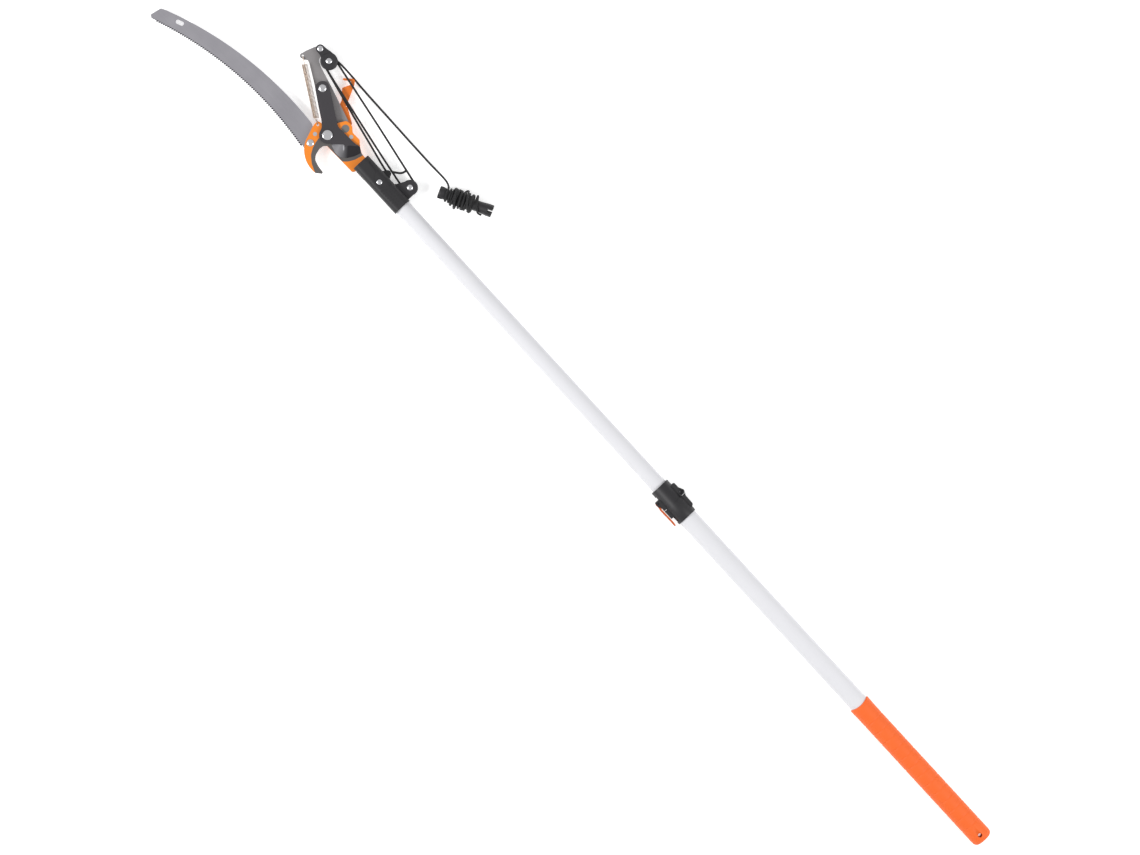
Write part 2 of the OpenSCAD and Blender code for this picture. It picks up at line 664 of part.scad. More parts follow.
module rope_bracket() {
    in_frame() color([0.15, 0.15, 0.16]) {
        bracket_cheek(bracket_high);
        bracket_cheek(bracket_low - cheek_t);
        translate([-167.5, bracket_web_y - 2, bracket_low - cheek_t]) difference() {
            cube([32.5, 2, bracket_high - bracket_low + 2 * cheek_t]);
            for (x = BRACKET_RIVETS_X) translate([x + 167.5, 3, bracket_sheave_z - bracket_low + cheek_t])
                rotate([90, 0, 0]) cylinder(r = 1.6 + slip, h = 4, $fn = 32);
        }
    }
}

module bracket_rivets() {
    in_frame() color("gray") for (x = BRACKET_RIVETS_X)
        translate([x, bracket_web_y - 2, bracket_sheave_z]) rotate([90, 0, 0]) {
            translate([0, 0, -2 - socket_wall + 0.4]) cylinder(r = 1.6, h = 2 + socket_wall - 0.4, $fn = 32);
            cylinder(r = 2, h = 0.5, $fn = 32);
        }
}

module bracket_sheave()
    { in_frame() color("dimgray") sheave(BRACKET_BOLT, bracket_sheave_z, socket_bolt_d); }

module bracket_bolt() {
    in_frame() color("gainsboro")
        round_bolt(BRACKET_BOLT, socket_bolt_d, 4.7, bracket_high + cheek_t, bracket_low - cheek_t - 3, 2);
}

module bracket_nut() {
    in_frame() color("gainsboro") hex_nut(BRACKET_BOLT, socket_bolt_d, bracket_low - cheek_t - 3, 3);
}

// The rope is knotted inside the knob and leaves it towards the block
module rope_knob() {
    half = 4.5;
    knob_r = 5.9;
    in_frame() color([0.15, 0.15, 0.16]) difference() {
        translate([0, 0, lower_sheave_z - half]) linear_extrude(2 * half) {
            at(KNOB) circle(r = knob_r, $fn = 48);
            polygon([[KNOB.x - 9, bracket_web_y], [KNOB.x - knob_r, KNOB.y - 1],
                [KNOB.x + knob_r, KNOB.y - 1],
                [KNOB.x + 9, bracket_web_y]]);
        }
        translate([KNOB.x - 20, bracket_web_y, -BIG / 2]) cube([40, 40, BIG]);
        at(KNOB, lower_sheave_z) rotate([0, 90, -11]) cylinder(r = rope_d / 2 + 0.3, h = 30, $fn = 32);
    }
}

// ---- Rope

module rope_strand_1() { in_frame() color([0.1, 0.1, 0.1]) rope(STRAND_1, rope_d); }

module rope_strand_2() { in_frame() color([0.1, 0.1, 0.1]) rope(STRAND_2, rope_d); }

module rope_strand_3() { in_frame() color([0.1, 0.1, 0.1]) rope(STRAND_3, rope_d); }

module keeper_cord() { in_frame() color([0.1, 0.1, 0.1]) rope(KEEPER, rope_d); }

module rope_turn(p, z, from, sweep) {
    at(p, z) rotate([0, 0, from]) rotate_extrude(angle = sweep, $fn = 64)
        translate([sheave_pitch_r, 0]) circle(d = rope_d, $fn = 24);
}

module block_rope() {
    in_frame() color([0.1, 0.1, 0.1]) {
        rope_turn(BLOCK_AXLE, lower_sheave_z, -96, 170);
        rope_turn(BLOCK_AXLE, upper_sheave_z, -90, 165);
    }
}

module bracket_rope() { in_frame() color([0.1, 0.1, 0.1]) rope_turn(BRACKET_BOLT, bracket_sheave_z, 84,
    172); }

module free_rope() { in_frame() color([0.1, 0.1, 0.1]) rope(FREE_ROPE, rope_d); }

module on_winder() { at(WINDER_START, winder_z) rotate([0, 90, WINDER_ANGLE]) children(); }

module winder() {
    end_r = winder_d / 2;
    waist_r = end_r - 1.3;
    in_frame() color([0.12, 0.12, 0.13]) on_winder() difference() {
        rotate_extrude($fn = 64) polygon([[6, 0], [end_r - 0.6, 0], [end_r, 0.8], [end_r, 6], [waist_r, 13],
            [waist_r, winder_length - 22], [end_r, winder_length - 9], [end_r, winder_length - 0.8],
            [end_r - 0.6, winder_length], [6, winder_length]]);
        for (end = [[-1, 70], [winder_length - 8, 10]]) translate([0, 0, end[0]]) rotate([0, 0, end[1]])
            translate([-20, -2.2, 0]) cube([40, 4.4, 9]);
    }
}

module wound_rope() {
    waist_r = winder_d / 2 - 1.3;
    in_frame() color([0.1, 0.1, 0.1]) on_winder() translate([0, 0, WOUND_FROM]) rotate_extrude($fn = 64)
        polygon([[waist_r, 0], [waist_r + rope_d, 0], [wound_d / 2, 8], [wound_d / 2, WOUND_LENGTH - 8],
            [waist_r + rope_d, WOUND_LENGTH], [waist_r, WOUND_LENGTH]]);
}

// ---- Pole

module upper_tube() {
    in_frame() color("whitesmoke") difference() {
        pipe(tube_rear_x, tube_front_x - tube_rear_x, upper_r, upper_bore_r);
        hole(SOCKET_BOLT, socket_bolt_d + 2 * slip);
    }
}

module tube_bush() {
    in_frame() color("dimgray") {
        pipe(tube_rear_x, bush_length, lower_bore_r - running_gap, upper_r);
        pipe(tube_rear_x - 3, 3, lower_bore_r - running_gap, upper_bore_r);
    }
}

module lower_tube() { in_frame() color("whitesmoke") pipe(lower_end_x, lower_front_x - lower_end_x,
    lower_r, lower_bore_r); }

module grip() {
    butt_r = 8;
    flare_length = 14;
    pitch = (grip_length - 90) / grip_rings;
    groove = 0.7;
    skin_r = grip_r - 0.5;
    side = concat([[lower_r, grip_length], [grip_r - 0.6, grip_length], [grip_r, grip_length - 0.8],
            [grip_r, grip_length - flare_length + 4], [skin_r, grip_length - flare_length]],
        [for (i = [0:grip_rings - 1]) let (x = grip_length - 36 - i * pitch)
            each [[skin_r, x + 1], [skin_r - groove, x], [skin_r, x - 1]]],
        [[grip_r - 0.2, 20], [grip_r, 14]],
        [for (k = [0:6]) [grip_r - butt_r + butt_r * cos(90 * k / 6), butt_r - butt_r * sin(90 * k / 6)]]);
    in_frame() color([0.98, 0.45, 0.16]) difference() {
        on_pole(grip_end_x) rotate_extrude($fn = 96)
            polygon(concat(side, [[0, 0], [0, butt_length], [lower_r, butt_length]]));
        hole([hang_hole_x, POLE_Y], hang_hole_d);
    }
}

// ---- Clamp

front_collar_r = collar_r - 1;
sleeve_r = lower_bore_r + 0.5;
split_x = clamp_x - 36;
lug_half = 9;
lug_y = POLE_Y + collar_r + 4.1;
CLAMP_PIN = [clamp_x - 20, lug_y - 1.9];
CLAMP_BOLT = [clamp_x - 31, POLE_Y - collar_r - 3.4];
cam_half = 6;
cam_r = CLAMP_PIN.y - POLE_Y - sleeve_r - 0.15;

module clamp_body() {
    in_frame() color([0.17, 0.17, 0.18]) difference() {
        union() {
            on_pole(split_x) cylinder(r = front_collar_r, h = 36, $fn = 96);
            on_pole(clamp_end_x) cylinder(r = collar_r, h = split_x - clamp_end_x, $fn = 96);
            translate([clamp_x, POLE_Y, -lug_half]) linear_extrude(2 * lug_half) {
                polygon(rounded([[-15, 0], [-15, collar_r + 6, 2], [-27, collar_r + 6, 2],
                    [-31, collar_r + 3.6, 3], [-53, collar_r + 3.6, 2], [-54, 0]]));
                polygon(rounded([[-61, 0], [-61, 1 - collar_r, 1], [-58, -collar_r - 3.6, 3],
                    [-40, -collar_r - 4, 3], [-36, -collar_r - 6.3, 3], [-26, -collar_r - 6.3, 3],
                    [-22, -collar_r - 4, 3], [-11, -collar_r - 4, 2], [-11, 0]]));
            }
        }
        on_pole(split_x - 40) cylinder(r = lower_r + slip, h = 40 + lower_front_x - split_x, $fn = 96);
        on_pole(split_x) cylinder(r = sleeve_r + slip, h = 40, $fn = 96);
        on_pole(split_x - 0.5) difference() {
            cylinder(r = 40, h = 1, $fn = 32);
            cylinder(r = lower_r + 0.9, h = 1, $fn = 96);
        }
        translate([CLAMP_PIN.x - 44, CLAMP_PIN.y - cam_r - 0.5, -cam_half - 0.2])
            cube([44 + 10, 40, 2 * cam_half + 0.4]);
        translate([CLAMP_PIN.x - 45, lug_y - 0.8, -20]) cube([40, 20, 40]);
        translate([clamp_x - 80, POLE_Y - 40, -1]) cube([90, 40 - lower_r, 2]);
        hole(CLAMP_PIN, clamp_pin_d);
        hole(CLAMP_BOLT, clamp_bolt_d + 2 * slip);
    }
}

module clamp_sleeve() {
    in_frame() color("dimgray") pipe(lower_front_x + 0.3, 30, sleeve_r, upper_r + running_gap);
}

// The lever's round root turns on the pin and presses on the sleeve
module clamp_lever() {
    in_frame() color([0.95, 0.42, 0.12]) difference() {
        at(CLAMP_PIN) {
            translate([0, 0, -cam_half]) linear_extrude(2 * cam_half) {
                circle(r = cam_r, $fn = 48);
                polygon(rounded([[-1, -cam_r], [-8, -1, 3], [-11, 4.4], [0, 4.4, 2], [cam_r - 0.4, 1]]));
            }
            translate([0, 0, 0.6 - lug_half]) linear_extrude(2 * lug_half - 1.2)
                polygon(rounded([[-6, 2.2, 1], [8 - clamp_lever_length, 1.8, 20],
                    [-clamp_lever_length, 2.6, 1], [1 - clamp_lever_length, 5.4, 1.5],
                    [10 - clamp_lever_length, 5, 20], [-10, 5.6, 4], [-6, 4.4, 1]]));
        }
        hole(CLAMP_PIN, clamp_pin_d + 2 * running_gap);
    }
}

module clamp_lever_pin() {
    in_frame() color("gainsboro") at(CLAMP_PIN, 0.2 - lug_half)
        cylinder(d = clamp_pin_d, h = 2 * lug_half - 0.4, $fn = 48);
}

module clamp_bolt() {
    in_frame() color("gainsboro") round_bolt(CLAMP_BOLT, clamp_bolt_d, 4.6, lug_half, -lug_half - 3.4, 2.4);
}

module clamp_nut() { in_frame() color("gainsboro") hex_nut(CLAMP_BOLT, clamp_bolt_d, -lug_half - 3, 3); }

saw_blade();
saw_bolt();
saw_nut();
hook_plate();
front_plate();
neck_plate();
rear_plate();
wear_button();
plate_rivets();
pivot_bolt();
pivot_nut();
cutting_blade();
lever();
lever_bolt();
lever_spacer();
return_spring();
spring_hook();
catch();
block_cheek_front();
block_cheek_rear();
block_spacer();
block_bolts();
block_nuts();
block_sheave_1();
block_sheave_2();
block_rope();
socket();
socket_bolt();
socket_nut();
rope_bracket();
bracket_rivets();
bracket_bolt();
bracket_nut();
bracket_sheave();
bracket_rope();
rope_knob();
rope_strand_1();
rope_strand_2();
rope_strand_3();
keeper_cord();
free_rope();
wound_rope();
winder();
upper_tube();
tube_bush();
lower_tube();
clamp_body();
clamp_sleeve();
clamp_lever();
clamp_lever_pin();
clamp_bolt();
clamp_nut();
grip();
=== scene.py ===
# %% [markdown]
# # A telescoping pole saw
# The tool lies flat on a pale table. Its plates, tubes and bolts come from the
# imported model; this script gives them their finishes and builds what a solid
# model only stands in for: rope, spring, rubber grip and ground edges.
# Every length is in metres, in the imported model's own frame.

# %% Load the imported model
import bpy
import math
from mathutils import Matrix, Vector


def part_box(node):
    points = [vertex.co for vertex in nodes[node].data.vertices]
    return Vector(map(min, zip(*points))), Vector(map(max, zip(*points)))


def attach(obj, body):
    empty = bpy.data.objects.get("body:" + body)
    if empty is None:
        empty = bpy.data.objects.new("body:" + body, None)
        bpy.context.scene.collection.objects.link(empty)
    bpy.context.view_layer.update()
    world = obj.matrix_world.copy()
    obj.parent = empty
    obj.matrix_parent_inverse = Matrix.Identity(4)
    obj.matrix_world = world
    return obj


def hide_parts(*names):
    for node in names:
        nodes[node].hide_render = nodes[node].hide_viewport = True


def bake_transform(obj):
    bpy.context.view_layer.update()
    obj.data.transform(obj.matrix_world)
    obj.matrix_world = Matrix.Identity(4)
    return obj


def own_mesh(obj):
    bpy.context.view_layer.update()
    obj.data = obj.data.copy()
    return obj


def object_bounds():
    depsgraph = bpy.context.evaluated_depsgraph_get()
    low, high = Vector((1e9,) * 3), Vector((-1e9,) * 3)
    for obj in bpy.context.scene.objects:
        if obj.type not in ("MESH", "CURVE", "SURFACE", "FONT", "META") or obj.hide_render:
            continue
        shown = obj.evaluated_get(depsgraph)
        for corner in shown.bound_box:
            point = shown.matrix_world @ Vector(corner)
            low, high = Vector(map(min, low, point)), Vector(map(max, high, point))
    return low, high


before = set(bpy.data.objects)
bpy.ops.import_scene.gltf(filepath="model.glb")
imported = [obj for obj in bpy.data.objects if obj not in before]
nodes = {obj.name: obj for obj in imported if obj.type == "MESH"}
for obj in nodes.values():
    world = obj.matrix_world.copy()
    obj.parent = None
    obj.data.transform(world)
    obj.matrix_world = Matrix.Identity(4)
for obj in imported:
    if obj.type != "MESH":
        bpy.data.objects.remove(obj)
cad_low, cad_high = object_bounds()
scene = bpy.context.scene
print("nodes", len(nodes), "length", round(cad_high.x - cad_low.x, 4))

# %% [markdown]
# ## Places on the tool
# The head was drawn round its main pivot, with the pole 10.5 mm to one side.
# One helper turns such a place, in millimetres, into a point of the model, so
# a rope's route can be repeated here with the round numbers it was drawn with.

# %% From drawing places to the model
MM = 0.001
pivot_low, pivot_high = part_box("pivot_bolt")
PIVOT = (pivot_low + pivot_high) / 2
tube_low, tube_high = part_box("upper_tube")
TUBE_AXIS_Z = (tube_low.z + tube_high.z) / 2


def place(x, y, z=0.0):
    """A point drawn in millimetres from the main pivot, at the tube's height."""
    return Vector((PIVOT.x + x * MM, PIVOT.y + y * MM, TUBE_AXIS_Z + z * MM))


print("pivot", [round(v, 4) for v in place(0, 0)])

# %% [markdown]
# ## Camera
# A long lens straight above keeps the pole's sides parallel. The camera is
# turned so that the pole runs from the top left corner to the bottom right one.

# %% Camera above the tool
CAMERA_HEIGHT = 9.0
FRAME_WIDTH = 1.881
CAMERA_TURN = math.radians(227.4)
AIM = place(-625.5, 32.0)

camera = bpy.data.objects.new("camera", bpy.data.cameras.new("camera"))
scene.collection.objects.link(camera)
camera.data.sensor_width = 36.0
camera.data.lens = camera.data.sensor_width * CAMERA_HEIGHT / FRAME_WIDTH
camera.data.clip_end = 40.0
camera.location = AIM + Vector((0, 0, CAMERA_HEIGHT))
camera.rotation_euler = (0, 0, CAMERA_TURN)
scene.camera = camera
print("lens", round(camera.data.lens, 1), "mm")

# %% [markdown]
# ## Light and table
# A pale tool on a white table is lit by large soft sources all round, so the
# world does most of the work and two broad lamps give the metal something to
# reflect. The table glows a little, like a lit panel, which keeps shadows light.

# %% Colours, nodes and materials
def linear(hex_colour, alpha=1.0):
    """An sRGB hex colour as linear values, with its alpha."""
    values = [int(hex_colour[i:i + 2], 16) / 255 for i in (1, 3, 5)]
    return [v / 12.92 if v <= 0.04045 else ((v + 0.055) / 1.055) ** 2.4 for v in values] + [alpha]


def add(tree, kind, inputs=None, **settings):
    """Adds a node. An input is a value, or another node's output to link."""
    made = tree.nodes.new(kind)
    for name, value in settings.items():
        setattr(made, name, value)
    for name, value in (inputs or {}).items():
        if isinstance(value, bpy.types.NodeSocket):
            tree.links.new(value, made.inputs[name])
        else:
            made.inputs[name].default_value = value
    return made


def new_material(name):
    """An empty material with its output, its tree and its surface shader."""
    material = bpy.data.materials.new(name)
    material.use_nodes = True
    tree = material.node_tree
    tree.nodes.clear()
    shader = add(tree, "ShaderNodeBsdfPrincipled")
    add(tree, "ShaderNodeOutputMaterial", {"Surface": shader.outputs["BSDF"]})
    return material, tree, shader


TABLE_WHITE, LAMP_WHITE = linear("#F4F4F4"), linear("#FFFFFF")
print("table white", [round(v, 3) for v in TABLE_WHITE])

# %% Table and world
# The table lies this far under the tool, so that the two never share a plane.
TABLE_GAP = 0.0004

table_paint, tree, shader = new_material("white lacquered table")
shader.inputs["Base Color"].default_value = TABLE_WHITE
shader.inputs["Roughness"].default_value = 0.9
shader.inputs["Emission Color"].default_value = LAMP_WHITE
shader.inputs["Emission Strength"].default_value = 0.45
bpy.ops.mesh.primitive_plane_add(size=30, location=(0, 0, -TABLE_GAP))
table = bpy.context.object
table.name = "table"
table.data.materials.append(table_paint)

world = bpy.data.worlds.new("white room")
scene.world = world
world.use_nodes = True
sky = world.node_tree.nodes["Background"]
sky.inputs["Color"].default_value = LAMP_WHITE
sky.inputs["Strength"].default_value = 0.55
scene.view_settings.view_transform = "Standard"
print("table", table.name, "world", world.name)

# %% Lamps
def lamp(name, location, size, power, aim):
    """A square soft lamp that faces a point."""
    data = bpy.data.lights.new(name, "AREA")
    data.shape = "SQUARE"
    data.size = size
    data.energy = power
    light = bpy.data.objects.new(name, data)
    scene.collection.objects.link(light)
    light.location = location
    light.rotation_euler = (Vector(aim) - Vector(location)).to_track_quat("-Z", "Y").to_euler()


lamp("softbox_key", (2.2, 2.6, 3.0), 1.3, 120, (0, 0, 0))
lamp("softbox_fill", (-2.4, -1.6, 2.6), 1.6, 60, (-0.2, 0, 0))

# %% [markdown]
# ## Rope
# The pull rope is a braided polyester cord of 3.5 mm. A rope keeps its
# thickness wherever it turns, so it is a tube swept along a smooth line.
# The tube carries a UV map in real metres, round it and along it, and the
# braid is drawn on that map, so the pattern follows every bend.

# %% Smooth lines and tubes
ROPE_D = 3.5 * MM


def smooth_line(points, step):
    """A Catmull-Rom line through the points, with a point about every step."""
    points = [Vector(p) for p in points]
    ends = [points[0] * 2 - points[1]] + points + [points[-1] * 2 - points[-2]]
    line = [points[0]]
    for i in range(1, len(ends) - 2):
        a, b, c, d = ends[i - 1:i + 3]
        count = max(1, round((c - b).length / step))
        for k in range(1, count + 1):
            t = k / count
            line.append(0.5 * (2 * b + (c - a) * t + (2 * a - 5 * b + 4 * c - d) * t * t
                               + (3 * b - a - 3 * c + d) * t ** 3))
    return line


def line_length(line):
    """The length of a line of points."""
    return sum((b - a).length for a, b in zip(line, line[1:]))


def sweep(name, line, diameter, sides, material):
    """A tube along a line, with a UV map in metres: x round it, y along it."""
    count = len(line)
    tangents = [(line[min(i + 1, count - 1)] - line[max(i - 1, 0)]).normalized() for i in range(count)]
    start = Vector((0, 0, 1)) if abs(tangents[0].z) < 0.9 else Vector((1, 0, 0))
    normal = tangents[0].cross(start).normalized()
    vertices, along, travelled = [], [], 0.0
    for i, (point, tangent) in enumerate(zip(line, tangents)):
        normal = (normal - tangent * normal.dot(tangent)).normalized()
        other = tangent.cross(normal)
        travelled += (point - line[i - 1]).length if i else 0.0
        along.append(travelled)
        for k in range(sides):
            turn = 2 * math.pi * k / sides
            vertices.append(point + (normal * math.cos(turn) + other * math.sin(turn)) * diameter / 2)
    faces, uvs = [], []
    side_width = math.pi * diameter / sides
    for i in range(count - 1):
        here, there = i * sides, (i + 1) * sides
        for k in range(sides):
            after = (k + 1) % sides
            faces.append((here + k, here + after, there + after, there + k))
            left, right = side_width * k, side_width * (k + 1)
            uvs.append(((left, along[i]), (right, along[i]), (right, along[i + 1]), (left, along[i + 1])))
    faces += [tuple(reversed(range(sides))), tuple((count - 1) * sides + k for k in range(sides))]
    uvs += [((0, 0),) * sides] * 2
    mesh = bpy.data.meshes.new(name)
    mesh.from_pydata([tuple(v) for v in vertices], [], faces)
    layer = mesh.uv_layers.new(name="braid")
    for polygon, corners in zip(mesh.polygons, uvs):
        polygon.use_smooth = len(polygon.vertices) == 4
        for loop, corner in zip(polygon.loop_indices, corners):
            layer.data[loop].uv = corner
    piece = bpy.data.objects.new(name, mesh)
    scene.collection.objects.link(piece)
    mesh.materials.append(material)
    return piece


print("rope diameter", ROPE_D, "m")

# %% [markdown]
# ## Braided polyester
# The yarns cross each other round the cord, which gives the eye small diamonds
# about 1.1 mm long, ten of them round it. Two sets of slanted stripes, one each
# way, are multiplied into diamonds that lift the surface and lighten the yarn's
# crown as a painted highlight, leaving painted shade between the yarns. The
# yarn's own fibres are drawn about 1 mm coarse, so that they show.

# %% Black braided polyester
# Each stripe is a whole wave of the sine, folded up into two ridges.
BRAID_WAVE = 2.2 * MM

braided_polyester, tree, shader = new_material("braided polyester")
uv = add(tree, "ShaderNodeUVMap", uv_map="braid")
split = add(tree, "ShaderNodeSeparateXYZ", {"Vector": uv.outputs["UV"]})
stripes = []
for side in (1, -1):
    slant = add(tree, "ShaderNodeMath", {0: split.outputs["X"], 1: float(side)}, operation="MULTIPLY")
    total = add(tree, "ShaderNodeMath", {0: slant.outputs[0], 1: split.outputs["Y"]}, operation="ADD")
    phase = add(tree, "ShaderNodeMath", {0: total.outputs[0], 1: 2 * math.pi / BRAID_WAVE},
                operation="MULTIPLY")
    wave = add(tree, "ShaderNodeMath", {0: phase.outputs[0]}, operation="SINE")
    stripes.append(add(tree, "ShaderNodeMath", {0: wave.outputs[0]}, operation="ABSOLUTE"))
diamonds = add(tree, "ShaderNodeMath", {0: stripes[0].outputs[0], 1: stripes[1].outputs[0]},
               operation="MULTIPLY")
fuzz = add(tree, "ShaderNodeTexNoise", {"Vector": add(tree, "ShaderNodeTexCoord").outputs["Object"],
                                        "Scale": 900.0, "Detail": 3.0})
# Fibre tone plus the diamonds, which give each crown a painted highlight and the hollows painted shade
yarn = add(tree, "ShaderNodeMath", {0: fuzz.outputs["Fac"], 1: 0.4, 2: diamonds.outputs[0]},
           operation="MULTIPLY_ADD")
colour = add(tree, "ShaderNodeValToRGB", {"Fac": yarn.outputs[0]})
colour.color_ramp.elements[0].color = linear("#060607")
colour.color_ramp.elements[1].color = linear("#1D1D20")
tree.links.new(colour.outputs["Color"], shader.inputs["Base Color"])
shader.inputs["Roughness"].default_value = 0.72
shader.inputs["Sheen Weight"].default_value = 0.08
shader.inputs["Sheen Roughness"].default_value = 0.5
lift = add(tree, "ShaderNodeBump", {"Height": yarn.outputs[0], "Strength": 0.7, "Distance": 0.25 * MM})
tree.links.new(lift.outputs["Normal"], shader.inputs["Normal"])
print("braid", braided_polyester.name)

# %% [markdown]
# ## The free rope
# From the upper sheave of the block the rope drops to the table, runs along
# it beside the pole and climbs onto the winder. It is laid point by point.
# This run is one cord, and what is wound on the winder is a second one.
# When the lever closes, the block comes nearer.

# %% The rope from the block to the winder
LOWER_SHEAVE_Z, UPPER_SHEAVE_Z, BRACKET_SHEAVE_Z = -5.05, -0.2, -2.62
FREE_RUN = [(88, -94.4, UPPER_SHEAVE_Z), (80, -94.6, -0.5), (72, -95.2, -2.4), (64, -95.6, -5),
            (52, -95.6, -9.8), (38, -95.2, -14.2), (24, -94.6, -16.3), (8, -94.2, -16.7),
            (-25, -93.8, -16.7), (-60, -93.4, -16.7), (-95, -93, -16.7), (-125, -92.8, -16.7),
            (-150, -92.8, -16.2), (-167, -93.2, -13.6), (-180, -93.4, -9), (-190, -92.6, -3),
            (-196.5, -90.2, 3), (-200.3, -86.8, 7), (-202, -82.8, 8.5)]
FREE_RUN_HINGE = place(-194.7, -90.3)

free_line = smooth_line([place(*p) for p in FREE_RUN], 4 * MM)
free_rope = sweep("rope_free_run", free_line, ROPE_D, 10, braided_polyester)
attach(free_rope, "free_rope")
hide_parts("free_rope")
along_free = place(*FREE_RUN[0]) - FREE_RUN_HINGE
along_free.z = 0
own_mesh(free_rope)
print("free run", round(line_length(free_line), 3), "m")

# %% [markdown]
# ## The rope on the winder
# The rest of the rope is wound on the winder by hand. It takes up where the
# free run ends, goes along the drum in close turns and comes back over them
# in turns that lean and cross. The last turn stands off the drum in a loop,
# and the tail is tucked under the slot at the far end.

# %% A point on the drum
WINDER_START = place(-192.7, -72.2, -1.5)
WINDER_TURN = math.radians(207)
WINDER_AXIS = Vector((math.cos(WINDER_TURN), math.sin(WINDER_TURN), 0))
WINDER_SIDE = Vector((-WINDER_AXIS.y, WINDER_AXIS.x, 0))
DRUM_R = 9.2 * MM
LOWEST_ROPE = cad_low.z + ROPE_D / 2 + 0.1 * MM


def on_drum(s, radius, turns):
    """A point s along the winder and radius off its axis after so many turns, never under the table."""
    angle = 2 * math.pi * turns
    point = (WINDER_START + WINDER_AXIS * s
             + (Vector((0, 0, 1)) * math.cos(angle) + WINDER_SIDE * math.sin(angle)) * radius)
    point.z = max(point.z, LOWEST_ROPE)
    return point


print("drum radius", DRUM_R, "m")

# %% The wound rope's turns
# Each row is a place that the rope passes: turns so far, place along the winder
# and distance from its axis. Between two rows it moves over smoothly.
TURN_POINTS = 16
INNER_R = DRUM_R + ROPE_D / 2 + 0.2 * MM
LAYER_RISE = 3.2 * MM
FIRST_TURN, INNER_TURNS, CLOSE_PITCH = 19 * MM, 10, 3.75 * MM
CROSSING_STEP = 0.62
# Where the crossing turns turn back, in millimetres, and how many layers up
CROSSING = [(59.5, 1.0), (55.0, 1.06), (56.5, 1.12), (48.5, 1.0), (50.0, 1.16), (42.5, 1.0), (44.0, 1.14),
            (36.5, 1.02), (38.5, 1.15), (30.5, 1.0), (33.0, 1.12), (25.0, 1.0), (28.0, 1.1), (22.5, 0.95)]
# The loop and the tail: turns past the crossing ones, then place and height over
# the inner layer in millimetres
LOOP_AND_TAIL = [(0.3, 33, 6.72), (0.75, 47, 7.04), (1.2, 58, 3.84), (1.55, 62.5, 6.08), (1.85, 65.5, 0.2),
                 (2.1, 72, 0.1), (2.2, 78, 1.1)]


def wound_rows(start):
    """The rows of the wound rope, from the point where the free run ends."""
    start_s = start.dot(WINDER_AXIS)
    rows = [(0.0, start_s, (start - WINDER_AXIS * start_s).length), (0.3, start_s + 1.2 * MM, INNER_R)]
    rows += [(1.0 + k, FIRST_TURN + CLOSE_PITCH * k, INNER_R) for k in range(INNER_TURNS + 1)]
    turn = rows[-1][0] + 0.5
    for s, layers in CROSSING:
        rows.append((turn, s * MM, INNER_R + LAYER_RISE * layers))
        turn += CROSSING_STEP
    return rows + [(turn + more, s * MM, INNER_R + height * MM) for more, s, height in LOOP_AND_TAIL]


def wound_line():
    """The wound rope as one line: an inner layer, a crossing layer, a loop and a tail."""
    start = free_line[-1] - WINDER_START
    start_turn = math.atan2(start.dot(WINDER_SIDE), start.z) / (2 * math.pi)
    rows = wound_rows(start)
    line = []
    for (t0, s0, r0), (t1, s1, r1) in zip(rows, rows[1:]):
        count = max(2, round((t1 - t0) * TURN_POINTS))
        for k in range(count):
            part = k / count
            soft = part * part * (3 - 2 * part)
            turns = start_turn - t0 - (t1 - t0) * part
            line.append(on_drum(s0 + (s1 - s0) * soft, r0 + (r1 - r0) * soft, turns))
    last_turn, last_s, last_r = rows[-1]
    return line + [on_drum(last_s, last_r, start_turn - last_turn)]


print("places on the drum", len(wound_rows(free_line[-1] - WINDER_START)))

# %% The rope on the winder
wound = wound_line()
wound_rope = sweep("rope_on_winder", wound, ROPE_D, 8, braided_polyester)
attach(wound_rope, "head")
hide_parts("wound_rope")
print("wound", round(line_length(wound), 3), "m")

# %% [markdown]
# ## The tackle's rope
# Between the block and the bracket the same rope runs to and fro three times, drawn
# taut by the return spring. When the lever closes, the block comes nearer and
# the sheaves take the rope up, so each run shortens towards its bracket end, to
# about half its length.

# %% The three runs
STRANDS = {
    "rope_strand_1": [(91, -74.5, LOWER_SHEAVE_Z), (60, -67.5, LOWER_SHEAVE_Z), (20, -58.5, LOWER_SHEAVE_Z),
                      (-20, -49.5, LOWER_SHEAVE_Z), (-60, -41, LOWER_SHEAVE_Z), (-90, -34.5, LOWER_SHEAVE_Z),
                      (-107.5, -31, LOWER_SHEAVE_Z)],
    "rope_strand_2": [(86.8, -94.3, LOWER_SHEAVE_Z), (50, -88, -4.6), (0, -79.5, -4.2), (-50, -71, -3.7),
                      (-100, -62, -3.2), (-140, -54.8, -2.9), (-157.5, -51.5, BRACKET_SHEAVE_Z)],
    "rope_strand_3": [(90.2, -74.5, UPPER_SHEAVE_Z), (60, -68.5, -0.9), (10, -59.5, -1.3), (-40, -50.5, -1.8),
                      (-90, -41.8, -2.3), (-130, -35.3, -2.6), (-153.5, -31.7, BRACKET_SHEAVE_Z)],
}
STRAND_BODY = {"rope_strand_1": "strand_1", "rope_strand_2": "strands_2_3", "rope_strand_3": "strands_2_3"}

for name, route in STRANDS.items():
    strand = sweep(name.replace("strand", "run"), smooth_line([place(*p) for p in route], 5 * MM), ROPE_D, 10,
                   braided_polyester)
    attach(strand, STRAND_BODY[name])
    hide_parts(name)
    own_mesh(strand)
print("tackle runs", len(STRANDS))

# %% The turns round the sheaves
SHEAVE_PITCH_R = 10
ARC_STEPS = 24
BLOCK_SHEAVES, BRACKET_SHEAVE = (88.5, -84.4), (-155.5, -41.6)
